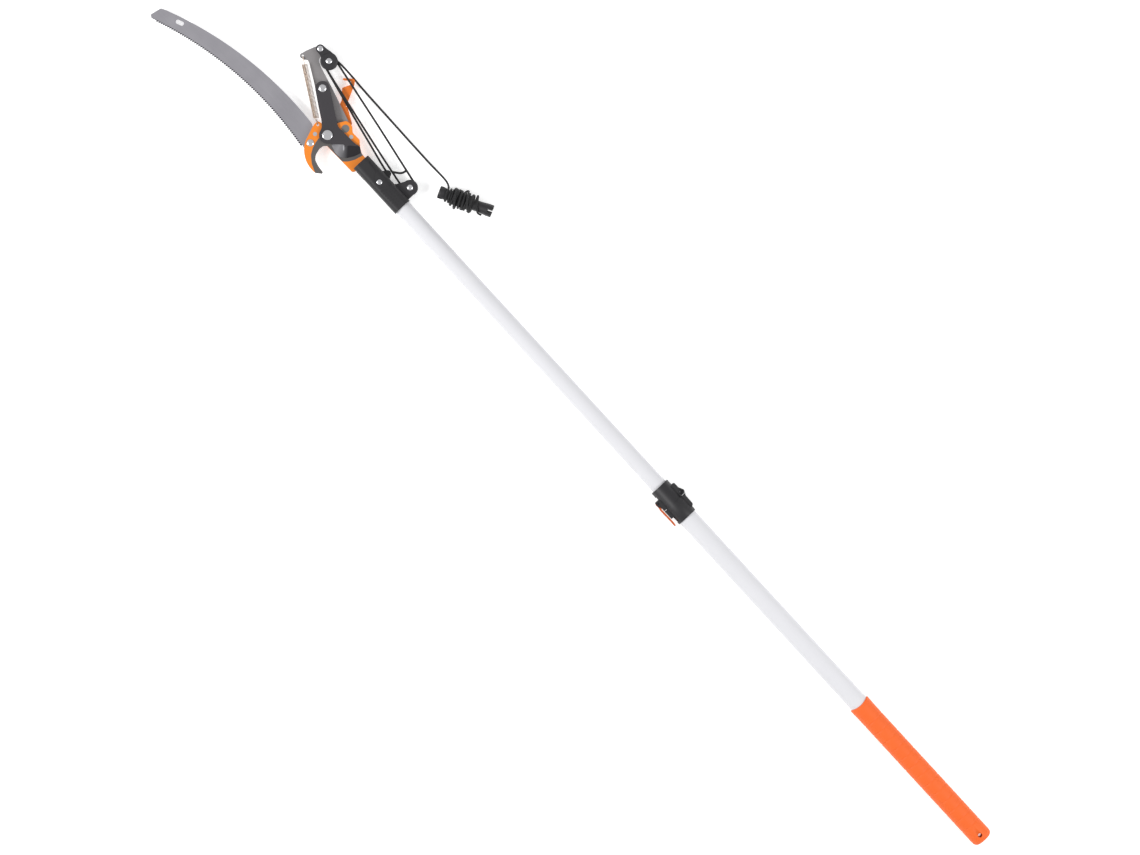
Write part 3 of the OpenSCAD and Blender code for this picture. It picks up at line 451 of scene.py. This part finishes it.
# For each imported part: the new piece, its body, and each turn's centre, height and two angles
TURNS = {
    "block_rope": ("rope_turns_block", "block", [(BLOCK_SHEAVES, LOWER_SHEAVE_Z, -96, 74),
                                                 (BLOCK_SHEAVES, UPPER_SHEAVE_Z, -90, 75)]),
    "bracket_rope": ("rope_turn_bracket", "head", [(BRACKET_SHEAVE, BRACKET_SHEAVE_Z, 84, 256)]),
}


def sheave_turn(centre, z, first, last):
    """An arc of rope round a sheave, between two angles in degrees."""
    angles = [math.radians(first + (last - first) * k / ARC_STEPS) for k in range(ARC_STEPS + 1)]
    return [place(centre[0] + SHEAVE_PITCH_R * math.cos(a), centre[1] + SHEAVE_PITCH_R * math.sin(a), z)
            for a in angles]


for part, (name, body, arcs) in TURNS.items():
    turns = [sweep(name, sheave_turn(*arc), ROPE_D, 10, braided_polyester) for arc in arcs]
    bpy.ops.object.select_all(action="DESELECT")
    for turn in turns:
        turn.select_set(True)
    bpy.context.view_layer.objects.active = turns[0]
    if len(turns) > 1:
        bpy.ops.object.join()
    turns[0].name = name
    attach(turns[0], body)
    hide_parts(part)
print("turns", len(TURNS))

# %% [markdown]
# ## The keeper cord
# A short piece of the same cord is tied across the runs near the bracket and
# keeps them together. Its knots make it a little thicker than the rope.

# %% The short cord across the runs
KEEPER = [(-117.6, -38.2, -1.6), (-120.5, -40.6, -1.2), (-126.2, -45.2, -1.6), (-129.4, -50, -1.6),
          (-130.6, -55.6, -1.4)]
KEEPER_D = 1.08 * ROPE_D

keeper_line = smooth_line([place(*p) for p in KEEPER], 1.5 * MM)
keeper = sweep("rope_keeper", keeper_line, KEEPER_D, 10, braided_polyester)
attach(keeper, "head")
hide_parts("keeper_cord")
print("keeper", round(line_length(keeper_line), 4), "m")

# %% [markdown]
# ## Finishes of the solid parts
# Each finish starts from the real one. Most of these surfaces are plain from
# a metre away, and what tells them apart is how sharply they shine, how their
# gloss varies and the fine relief left by the way they were made. Maps could
# be painted for each part, but a grain worked out from the place on the part
# needs no map and keeps its real size on every one of them.
#
# Stove enamel is smooth and glossy with a slight orange peel, powder coat is
# duller and rougher, and the non-stick coating of the blade lies between them.
# Phosphate and lacquer let some of the steel's own shine through.

# %% Painted and coated steel
CLOUDS_PER_METRE = 28.0
GRAIN_SHARE, CLOUD_SHARE = 0.5, 0.5


def surface(name, light, dark, roughness, metallic=0.0, grain_mm=0.8, relief_mm=0.02, spread=0.06,
            stretch=(1, 1, 1), turn=0.0, coat=0.0):
    """A finish whose colour, gloss and relief vary with a grain of a real size and with wide clouds."""
    material, tree, shader = new_material(name)
    coordinates = add(tree, "ShaderNodeTexCoord")
    mapping = add(tree, "ShaderNodeMapping", {"Vector": coordinates.outputs["Object"],
                                              "Scale": stretch, "Rotation": (0, 0, turn)})
    grain = add(tree, "ShaderNodeTexNoise", {"Vector": mapping.outputs["Vector"], "Detail": 4.0,
                                             "Scale": 1 / (grain_mm * MM), "Roughness": 0.6})
    cloud = add(tree, "ShaderNodeTexNoise", {"Vector": coordinates.outputs["Object"],
                                             "Scale": CLOUDS_PER_METRE, "Detail": 5.0})
    fine = add(tree, "ShaderNodeMath", {0: grain.outputs["Fac"], 1: GRAIN_SHARE}, operation="MULTIPLY")
    shade = add(tree, "ShaderNodeMath", {0: cloud.outputs["Fac"], 1: CLOUD_SHARE, 2: fine.outputs[0]},
                operation="MULTIPLY_ADD")
    colour = add(tree, "ShaderNodeMix", {"Factor": shade.outputs[0]}, data_type="RGBA")
    colour.inputs[6].default_value = linear(dark)
    colour.inputs[7].default_value = linear(light)
    tree.links.new(colour.outputs[2], shader.inputs["Base Color"])
    gloss = add(tree, "ShaderNodeMapRange", {"Value": shade.outputs[0], "To Min": roughness - spread,
                                             "To Max": roughness + spread})
    tree.links.new(gloss.outputs[0], shader.inputs["Roughness"])
    shader.inputs["Metallic"].default_value = metallic
    shader.inputs["Coat Weight"].default_value = coat
    shader.inputs["Coat Roughness"].default_value = 0.12
    relief = add(tree, "ShaderNodeBump", {"Height": grain.outputs["Fac"], "Strength": 0.5,
                                          "Distance": relief_mm * MM})
    tree.links.new(relief.outputs["Normal"], shader.inputs["Normal"])
    return material


orange_enamel = surface("orange stove enamel", "#F08A1B", "#E67C13", 0.36, grain_mm=1.6, relief_mm=0.03,
                        coat=0.3)
# The catch has the plates' orange enamel, made darker as painted shade
catch_enamel_painted_shade = surface("orange stove enamel with painted shade", "#EB7A14", "#DB6A0C", 0.36, grain_mm=1.6, relief_mm=0.03,
                       coat=0.3)
phosphated_steel = surface("phosphated hook steel", "#6B6766", "#545150", 0.42, 0.35, 0.5, 0.03)
blade_coating = surface("black non-stick coating", "#3A373B", "#302D31", 0.4, 0.0, 0.35, 0.015, coat=0.1)
lacquered_steel = surface("lacquered lever steel", "#989596", "#868384", 0.45, 0.35, 0.6, 0.03)
powder_coat = surface("black powder coat", "#2B2A2E", "#1F1E21", 0.45, 0.0, 0.9, 0.05)
print("coated finishes ready")

# %% [markdown]
# ## Ground facet
# The grinding of the cutting blade cuts through the coating and bares the steel.
# The colour runs along the facet's own map, which goes from 0 to 1 along the
# edge: steel grey where the facet starts, then a painted highlight, then painted
# dark reflection towards the tip.

# %% Ground facet of the cutting blade
ground_facet, tree, shader = new_material("ground facet with painted reflection")
facet_map = add(tree, "ShaderNodeUVMap", uv_map="facet")
along = add(tree, "ShaderNodeSeparateXYZ", {"Vector": facet_map.outputs["UV"]})
# Steel grey where the facet starts, then a painted highlight and a painted dark reflection towards the tip
steel_and_painted_reflection = add(tree, "ShaderNodeValToRGB", {"Fac": along.outputs["X"]})
steel_and_painted_reflection.color_ramp.elements[0].position = 0.02
steel_and_painted_reflection.color_ramp.elements[0].color = linear("#6E6D71")
steel_and_painted_reflection.color_ramp.elements[1].position = 0.62
steel_and_painted_reflection.color_ramp.elements[1].color = linear("#242226")
steel_and_painted_reflection.color_ramp.elements.new(0.28).color = linear("#8F8E92")
tree.links.new(steel_and_painted_reflection.outputs["Color"], shader.inputs["Base Color"])
shader.inputs["Metallic"].default_value = 0.3
shader.inputs["Roughness"].default_value = 0.36
print("facet", ground_facet.name)

# %% [markdown]
# ## Bare metal
# Bare metal is told by its direction. The saw is ground lengthwise, which
# leaves long fine lines; drawn tube has long faint lines too, but anodising
# turns it matt and pale, closer to a ceramic than to polished metal. Zinc
# plating is bright with a slightly uneven crystal.

# %% Saw steel and tube
ground_steel = surface("ground saw steel", "#BCBAC0", "#9F9DA4", 0.34, 0.8, 0.7, 0.01, 0.07,
                       stretch=(0.03, 1, 1), turn=0.1)
anodised_tube = surface("anodised aluminium tube", "#DDDDE0", "#D5D5D9", 0.5, 0.0, 0.9, 0.01, 0.05,
                        stretch=(0.02, 1, 1))
anodised_tube.node_tree.nodes["Principled BSDF"].inputs["Specular IOR Level"].default_value = 0.25


print("long-grained finishes ready")

# %% [markdown]
# ## Hardened teeth, with painted shade
# The saw's teeth are hardened by a short pulse of heat, which leaves a
# blue-black scale on the ground front of each one. The dark fronts are also
# painted shade, for ground faces that catch less light than the flat blade.
# The teeth stand on an arc, so the mask is worked out in polar places: how far
# in from the teeth's circle, and how far along it, where a share of every pitch
# is dark.

# %% Dark fronts on the teeth
TEETH_CENTRE, TEETH_R = place(104, 664), 627 * MM
FIRST_TOOTH = math.radians(-98.3)
TOOTH_PITCH, TOOTH_FACE, DARK_FRONT_DEPTH = 4 * MM, 0.58, 0.9 * MM
# Hardening scale and painted shade of the ground tooth faces
TOOTH_SCALE_AND_SHADE = "#26252B"


def darken_tooth_fronts(material):
    """Darkens the ground front of every tooth: hardening scale and painted shade."""
    tree = material.node_tree
    shader = tree.nodes["Principled BSDF"]
    plain = shader.inputs["Base Color"].links[0].from_socket
    coordinates = add(tree, "ShaderNodeTexCoord")
    centred = add(tree, "ShaderNodeMapping", {"Vector": coordinates.outputs["Object"],
                                              "Location": (-TEETH_CENTRE.x, -TEETH_CENTRE.y, 0)})
    split = add(tree, "ShaderNodeSeparateXYZ", {"Vector": centred.outputs["Vector"]})
    flat = add(tree, "ShaderNodeCombineXYZ", {"X": split.outputs["X"], "Y": split.outputs["Y"]})
    radius = add(tree, "ShaderNodeVectorMath", {0: flat.outputs[0]}, operation="LENGTH")
    angle = add(tree, "ShaderNodeMath", {0: split.outputs["Y"], 1: split.outputs["X"]}, operation="ARCTAN2")
    turned = add(tree, "ShaderNodeMath", {0: angle.outputs[0], 1: FIRST_TOOTH}, operation="SUBTRACT")
    tooth = add(tree, "ShaderNodeMath", {0: turned.outputs[0], 1: TEETH_R / TOOTH_PITCH},
                operation="MULTIPLY")
    phase = add(tree, "ShaderNodeMath", {0: tooth.outputs[0]}, operation="FRACT")
    on_face = add(tree, "ShaderNodeMath", {0: phase.outputs[0], 1: TOOTH_FACE}, operation="LESS_THAN")
    near_edge = add(tree, "ShaderNodeMath", {0: radius.outputs["Value"], 1: TEETH_R + DARK_FRONT_DEPTH},
                    operation="LESS_THAN")
    # Mask of the dark fronts: hardening scale and painted shade
    scale_and_shade_mask = add(tree, "ShaderNodeMath", {0: on_face.outputs[0], 1: near_edge.outputs[0]},
                 operation="MULTIPLY")
    mixed = add(tree, "ShaderNodeMix", {0: scale_and_shade_mask.outputs[0], 6: plain}, data_type="RGBA")
    mixed.inputs[7].default_value = linear(TOOTH_SCALE_AND_SHADE)
    tree.links.new(mixed.outputs[2], shader.inputs["Base Color"])


darken_tooth_fronts(ground_steel)
print("tooth pitch", TOOTH_PITCH, "m")

# %% Plated, blackened and drawn steel
bright_zinc = surface("bright zinc plating", "#E9E9EC", "#CFCFD3", 0.26, 0.9, 0.5, 0.01)
black_oxide = surface("black oxide steel", "#2A2A2D", "#1D1D1F", 0.4, 0.6, 0.4, 0.01)
knurled_steel = surface("matt knurled steel", "#8F8D8C", "#5F5D5C", 0.5, 0.5, 0.5, 0.15)
# The wire's warm tint is a painted reflection of the orange plates round it
drawn_wire_painted_reflection = surface("drawn spring wire with painted reflection", "#D2BFAF", "#B29F90", 0.3, 0.8, 0.3, 0.01)
print("bare metals ready")

# %% [markdown]
# ## Plastics and rubber
# The mouldings are glass-filled nylon with a fine spark-eroded grain, which
# spreads the light. The clamp's lever is a glossier plastic, its orange darkened
# as painted shade for the shade it lies in. The grip is a soft thermoplastic
# rubber: deep colour, hardly any shine.

# %% Plastics and rubber
moulded_nylon = surface("moulded black nylon", "#262528", "#1A191C", 0.5, 0.0, 0.45, 0.06)
# The lever's orange is darkened as painted shade
orange_plastic_painted_shade = surface("moulded orange plastic with painted shade", "#C9622F", "#BA5524", 0.38, 0.0, 0.6, 0.03)
soft_rubber = surface("soft orange rubber", "#F26A20", "#E85E17", 0.62, 0.0, 0.5, 0.05)
print("mouldings ready")

# %% [markdown]
# ## Dressing the solid parts
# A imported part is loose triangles, so a part that gets round edges is welded
# first. A narrow bevel then gives each edge the small radius that stamping and
# tumbling leave, which is what catches the light on a real plate.

# %% Which part has which finish
FINISHES = {
    orange_enamel: ["front_plate", "neck_plate", "rear_plate"],
    catch_enamel_painted_shade: ["catch"],
    phosphated_steel: ["hook_plate"],
    blade_coating: ["cutting_blade"],
    lacquered_steel: ["lever"],
    powder_coat: ["block_cheek_front", "block_cheek_rear", "rope_bracket"],
    ground_steel: ["saw_blade"],
    anodised_tube: ["upper_tube", "lower_tube"],
    bright_zinc: ["saw_bolt", "saw_nut", "plate_rivets", "pivot_bolt", "pivot_nut", "lever_bolt",
                  "lever_spacer", "block_spacer", "block_bolts", "block_nuts", "socket_bolt", "socket_nut",
                  "bracket_rivets", "bracket_bolt", "bracket_nut"],
    black_oxide: ["clamp_lever_pin", "clamp_bolt", "clamp_nut"],
    knurled_steel: ["wear_button"],
    drawn_wire_painted_reflection: ["spring_hook"],
    moulded_nylon: ["socket", "rope_knob", "winder", "tube_bush", "clamp_body", "clamp_sleeve",
                    "block_sheave_1", "block_sheave_2", "bracket_sheave"],
    orange_plastic_painted_shade: ["clamp_lever"],
    soft_rubber: ["grip"],
}
for finish, names in FINISHES.items():
    for name in names:
        nodes[name].data.materials.clear()
        nodes[name].data.materials.append(finish)
print("finished", sum(len(names) for names in FINISHES.values()), "parts")

# %% Round edges
EDGE_MM = {"hook_plate": 0.35, "front_plate": 0.3, "neck_plate": 0.3, "rear_plate": 0.2, "lever": 0.5,
           "catch": 0.35, "block_cheek_front": 0.4, "block_cheek_rear": 0.4, "rope_bracket": 0.4,
           "socket": 0.5, "clamp_body": 0.7, "clamp_lever": 0.6, "winder": 0.5, "rope_knob": 0.6}
WELD_GAP = 0.01 * MM
SHARP = math.radians(40)


def round_edges(part, edge_mm):
    """Welds a part and rounds its sharp edges."""
    weld = part.modifiers.new("weld", "WELD")
    weld.merge_threshold = WELD_GAP
    bevel = part.modifiers.new("edges", "BEVEL")
    bevel.width = edge_mm * MM
    bevel.segments = 2
    bevel.limit_method = "ANGLE"
    bevel.angle_limit = SHARP
    bevel.use_clamp_overlap = True


for name, edge_mm in EDGE_MM.items():
    round_edges(nodes[name], edge_mm)
print("rounded", len(EDGE_MM), "parts")

# %% [markdown]
# ## Return spring
# The spring stands a little open, already drawn out between its two eyes. Its
# wire is one sweep: the eye on the plate, a lead-in and a helix. The eye on the
# lever is a imported part.

# %% Places on the spring
WIRE_D = 1.3 * MM
COIL_R = 4.6 * MM
COIL_HEIGHT = 1.6
EYE_ON_PLATE = place(23.5, 0.3)
EYE_ON_LEVER = place(125, -58.6)
SPRING_AXIS = (EYE_ON_LEVER - EYE_ON_PLATE).normalized()
SPRING_SIDE = Vector((-SPRING_AXIS.y, SPRING_AXIS.x, 0))
COIL_FROM = 10.5 * MM
COIL_TO = (EYE_ON_LEVER - EYE_ON_PLATE).length - 14 * MM


def spring_point(s, angle, radius, height_mm):
    """A point at s along the spring, at an angle round an axis that is so high over the tube's."""
    base = EYE_ON_PLATE + SPRING_AXIS * s
    base.z = place(0, 0, height_mm).z
    return base + SPRING_SIDE * radius * math.cos(angle) + Vector((0, 0, radius * math.sin(angle)))


print("coils", round(COIL_TO - COIL_FROM, 4), "m long")

# %% Coils and the eye on the plate
COIL_PITCH = 1.6 * WIRE_D
TURN_STEPS = 14
EYE_R = 4.6

coil_turns = (COIL_TO - COIL_FROM - WIRE_D) / COIL_PITCH
coils = [spring_point(COIL_FROM + WIRE_D / 2 + COIL_PITCH * k / TURN_STEPS, 2 * math.pi * k / TURN_STEPS,
                      COIL_R, COIL_HEIGHT)
         for k in range(int(coil_turns * TURN_STEPS) + 1)]
eye_angles = [math.radians(a) for a in range(-250, 91, 18)]
plate_eye = [spring_point(EYE_R * MM * (1 - math.cos(a)), 0, 0, EYE_R * math.sin(a)) for a in eye_angles]
lead_in = smooth_line([plate_eye[-1], spring_point(COIL_FROM - 2.2 * MM, 0.6, COIL_R / 2, 4.3), coils[2]],
                      1 * MM)
return_spring = sweep("spring_coils", plate_eye + lead_in[1:-1] + coils[2:], WIRE_D, 8, drawn_wire_painted_reflection)
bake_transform(return_spring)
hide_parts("return_spring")
print("spring turns", round(coil_turns), "vertices", len(return_spring.data.vertices))

# %% [markdown]
# ## Grip
# The grip is a rubber sleeve pushed over the lower tube. Its front end and its
# finger grooves are bowed towards the butt, and it is a little wider where it
# starts. A hole through the butt takes a hanging hook. The sleeve starts as a
# circle at the butt and is drawn along the tube ring by ring, so that each
# groove is a few rings close together. All rings are then bowed at once.

# %% The sleeve's profile
grip_low, grip_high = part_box("grip")
GRIP_Y = (grip_low.y + grip_high.y) / 2
GRIP_R = (grip_high.y - grip_low.y) / 2
GRIP_LENGTH = grip_high.x - grip_low.x
SKIN_R = GRIP_R - 0.5 * MM
BUTT_R, BUTT_LENGTH = 9 * MM, 23 * MM
BORE_R = tube_high.z - TUBE_AXIS_Z + 2.55 * MM
# Grooves start so far behind the front end and stop so far from the butt
FRONT_PLAIN, BUTT_PLAIN, GROOVE_PITCH = 36 * MM, 30 * MM, 19.6 * MM
# A groove as places along it and how far it is sunk, in millimetres, and the collar
# at the front as distances back from the end
GROOVE = [(-2.4, 0), (-1.2, 0.08), (-0.5, 0.42), (0, 0.6), (0.5, 0.42), (1.2, 0.08), (2.4, 0)]
COLLAR = [(16, 0.5), (9, 0.1), (1.2, 0), (0.4, 0.3), (0, 0.9)]

corner = [math.radians(a) for a in range(90, -1, -10)]
profile = [(BUTT_R * (1 - math.sin(a)), SKIN_R - BUTT_R * (1 - math.cos(a))) for a in corner]
groove_count = math.ceil((GRIP_LENGTH - FRONT_PLAIN - BUTT_PLAIN) / GROOVE_PITCH)
for k in reversed(range(groove_count)):
    middle = GRIP_LENGTH - FRONT_PLAIN - k * GROOVE_PITCH
    profile += [(middle + shift * MM, SKIN_R - sunk * MM) for shift, sunk in GROOVE]
profile += [(GRIP_LENGTH - back * MM, GRIP_R - sunk * MM) for back, sunk in COLLAR]
profile += [(GRIP_LENGTH, BORE_R), (BUTT_LENGTH, BORE_R)]
print("grooves", groove_count, "rings", len(profile))

# %% The sleeve, ring by ring
bpy.ops.object.select_all(action="DESELECT")
bpy.ops.mesh.primitive_circle_add(vertices=72, radius=profile[0][1], fill_type="NGON",
                                  location=(grip_low.x, GRIP_Y, TUBE_AXIS_Z), rotation=(0, -math.pi / 2, 0))
grip = bpy.context.object
grip.name = grip.data.name = "grip_sleeve"
bpy.ops.object.transform_apply(location=True, rotation=True, scale=True)
bpy.ops.object.mode_set(mode="EDIT")
bpy.ops.mesh.select_all(action="SELECT")
for (s, radius), (next_s, next_radius) in zip(profile, profile[1:]):
    bpy.ops.mesh.extrude_region_move(TRANSFORM_OT_translate={"value": (next_s - s, 0, 0)})
    bpy.ops.transform.resize(value=(1, next_radius / radius, next_radius / radius),
                             center_override=(grip_low.x + next_s, GRIP_Y, TUBE_AXIS_Z))
bpy.ops.mesh.select_all(action="SELECT")
bpy.ops.mesh.normals_make_consistent(inside=False)
bpy.ops.object.mode_set(mode="OBJECT")
print("sleeve vertices", len(grip.data.vertices))

# %% Bow, hanging hole and finish
FRONT_BOW, FRONT_REACH = 3.4 * MM, 34 * MM
GROOVE_BOW, BUTT_REACH = 1.6 * MM, 40 * MM
HOLE_R, HOLE_FROM_BUTT = 3.5 * MM, 12 * MM

for vertex in grip.data.vertices:
    s = vertex.co.x - grip_low.x
    sideways = math.atan2(vertex.co.y - GRIP_Y, vertex.co.z - TUBE_AXIS_Z)
    near_front = max(0.0, 1 - (GRIP_LENGTH - s) / FRONT_REACH)
    bow = GROOVE_BOW * min(1.0, s / BUTT_REACH) + (FRONT_BOW - GROOVE_BOW) * near_front
    vertex.co.x -= bow * math.cos(sideways) ** 2
for polygon in grip.data.polygons:
    polygon.use_smooth = len(polygon.vertices) == 4
grip.data.materials.append(soft_rubber)
bpy.ops.mesh.primitive_cylinder_add(vertices=40, radius=HOLE_R, depth=4 * GRIP_R,
                                    location=(grip_low.x + HOLE_FROM_BUTT, GRIP_Y, TUBE_AXIS_Z))
drill = bpy.context.object
hole = grip.modifiers.new("hanging hole", "BOOLEAN")
hole.object = drill
hole.operation = "DIFFERENCE"
bpy.context.view_layer.objects.active = grip
bpy.ops.object.modifier_apply(modifier=hole.name)
bpy.data.objects.remove(drill)
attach(grip, "pole_base")
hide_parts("grip")
print("grip vertices", len(grip.data.vertices))

# %% [markdown]
# ## Cutting blade
# The blade is a thick plate with a hollow facet ground along its curved edge.
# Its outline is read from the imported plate, so that the ground blade fits where
# the plate did. The facet is a grid of rows from the line where the grinding
# starts to the cutting edge, and the rest is a plain plate round it. A grid is
# laid out in code here, because the facet's hollow changes all along the edge.

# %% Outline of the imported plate
SAME_HEIGHT = 0.00001


def top_outline(part):
    """The outer outline of a flat part's top face, in order round it."""
    points = [tuple(round(c, 6) for c in v.co) for v in part.data.vertices]
    top = max(z for _, _, z in points)
    edges = set()
    for polygon in part.data.polygons:
        corners = [points[v] for v in polygon.vertices]
        if all(abs(z - top) < SAME_HEIGHT for _, _, z in corners):
            edges.update(zip(corners, corners[1:] + corners[:1]))
    after = {a: b for a, b in sorted(edges) if (b, a) not in edges}
    loops = []
    while after:
        loop = [next(iter(after))]
        while loop[-1] in after:
            loop.append(after.pop(loop[-1]))
        loops.append([Vector(p) for p in loop[:-1]])
    return max(loops, key=line_length)


outline = top_outline(nodes["cutting_blade"])
blade_low, blade_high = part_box("cutting_blade")
print("outline points", len(outline))

# %% The cutting edge and the line where the grinding starts
FACET_STEPS, FACET_ROWS = 40, 7
EDGE_START, EDGE_TIP, EDGE_HEEL = place(-18.5, 5.6), place(-58.6, -20.2), place(-49.6, -26.4)
GROUND_FROM = [(-29.1, -8.8), (-31.6, -9.2), (-33.4, -7.4), (-37, -15)]


def nearest(line, point):
    """The index of a line's nearest point, seen from above."""
    return min(range(len(line)), key=lambda i: (line[i].xy - point.xy).length)


def spread_along(line, count):
    """So many equal steps along a line, with both of its ends."""
    total = line_length(line)
    result, i, done = [line[0]], 0, 0.0
    for k in range(1, count):
        target = total * k / count
        while done + (line[i + 1] - line[i]).length < target:
            done += (line[i + 1] - line[i]).length
            i += 1
        part = (target - done) / (line[i + 1] - line[i]).length
        result.append(line[i].lerp(line[i + 1], part))
    return result + [line[-1]]


first = nearest(outline, EDGE_START)
outline = outline[first:] + outline[:first]
tip, heel = nearest(outline, EDGE_TIP), nearest(outline, EDGE_HEEL)
if tip > heel:
    outline = [outline[0]] + outline[:0:-1]
    tip, heel = len(outline) - tip, len(outline) - heel
edge_run = spread_along(outline[:tip + 1], FACET_STEPS)
ground_from = [outline[0]] + [place(*p) for p in GROUND_FROM] + [outline[heel]]
ground_run = spread_along([Vector((p.x, p.y, 0)) for p in ground_from], FACET_STEPS)
print("edge", round(line_length(edge_run), 4), "m")

# %% The facet's grid
# The grinding cuts deepest near the pivot and runs out towards the tip.
EDGE_LEFT = 0.45 * MM
DEEPEST = 1.1 * MM
RUN_OUT_FROM, RUN_OUT_OVER, RUN_IN_STEPS = 0.36, 0.16, 3
HOLLOW = 0.8


def facet_point(k, row):
    """A point of the facet: step k along the edge, and a row from the plate down to the edge."""
    inner, outer = ground_run[k], edge_run[k]
    run_out = min(1.0, max(0.0, (k / FACET_STEPS - RUN_OUT_FROM) / RUN_OUT_OVER))
    top = blade_high.z - (1.0 - run_out) * DEEPEST * min(1.0, k / RUN_IN_STEPS)
    part = row / FACET_ROWS
    fall = math.sin(part * math.pi / 2) ** HOLLOW
    return (inner.x + (outer.x - inner.x) * part, inner.y + (outer.y - inner.y) * part,
            top + (blade_low.z + EDGE_LEFT - top) * fall)


row_points = FACET_ROWS + 1
vertices = [facet_point(k, row) for k in range(FACET_STEPS + 1) for row in range(row_points)]
faces = []
for k in range(FACET_STEPS):
    for row in range(FACET_ROWS):
        corner = k * row_points + row
        faces.append((corner, corner + 1, corner + row_points + 1, corner + row_points))
facet_faces = len(faces)
print("facet faces", facet_faces)

# %% The plate round the facet
around = outline[heel + 1:]
lip = len(vertices)
vertices += [(p.x, p.y, blade_high.z) for p in ground_run + around]
under = len(vertices)
vertices += [(p.x, p.y, blade_low.z) for p in edge_run + [outline[heel]] + around]
top_face = list(range(lip, under))
under_face = list(range(under, len(vertices)))
faces += [tuple(top_face), tuple(reversed(under_face))]
for k in range(FACET_STEPS):
    here, there = k * row_points, (k + 1) * row_points
    faces.append((lip + k, here, there, lip + k + 1))
    faces.append((here + FACET_ROWS, under + k, under + k + 1, there + FACET_ROWS))
last_row = list(range(FACET_STEPS * row_points, lip))
faces.append(tuple(last_row + [under + FACET_STEPS, under + FACET_STEPS + 1, lip + FACET_STEPS]))
top_wall = top_face[FACET_STEPS:] + [lip]
under_wall = under_face[FACET_STEPS + 1:] + [under]
for a, b, c, d in zip(top_wall, top_wall[1:], under_wall[1:], under_wall):
    faces.append((a, b, c, d))
print("blade faces", len(faces))

# %% The ground blade
BLADE_EDGE_MM = 0.45
SAME_POINT = 0.02 * MM

mesh = bpy.data.meshes.new("cutting_blade_ground")
mesh.from_pydata(vertices, [], faces)
layer = mesh.uv_layers.new(name="facet")
for polygon in mesh.polygons:
    polygon.use_smooth = polygon.index < facet_faces
    polygon.material_index = int(polygon.index < facet_faces)
    for loop_index, corner in zip(polygon.loop_indices, polygon.vertices):
        layer.data[loop_index].uv = (corner // row_points / FACET_STEPS, corner % row_points / FACET_ROWS)
blade = bpy.data.objects.new("cutting_blade_ground", mesh)
scene.collection.objects.link(blade)
mesh.materials.append(blade_coating)
mesh.materials.append(ground_facet)
bpy.ops.object.select_all(action="DESELECT")
bpy.context.view_layer.objects.active = blade
blade.select_set(True)
bpy.ops.object.mode_set(mode="EDIT")
bpy.ops.mesh.select_all(action="SELECT")
bpy.ops.mesh.remove_doubles(threshold=SAME_POINT)
bpy.ops.mesh.normals_make_consistent(inside=False)
bpy.ops.object.mode_set(mode="OBJECT")
round_edges(blade, BLADE_EDGE_MM)
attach(blade, "lever")
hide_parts("cutting_blade")
print("blade vertices", len(blade.data.vertices))
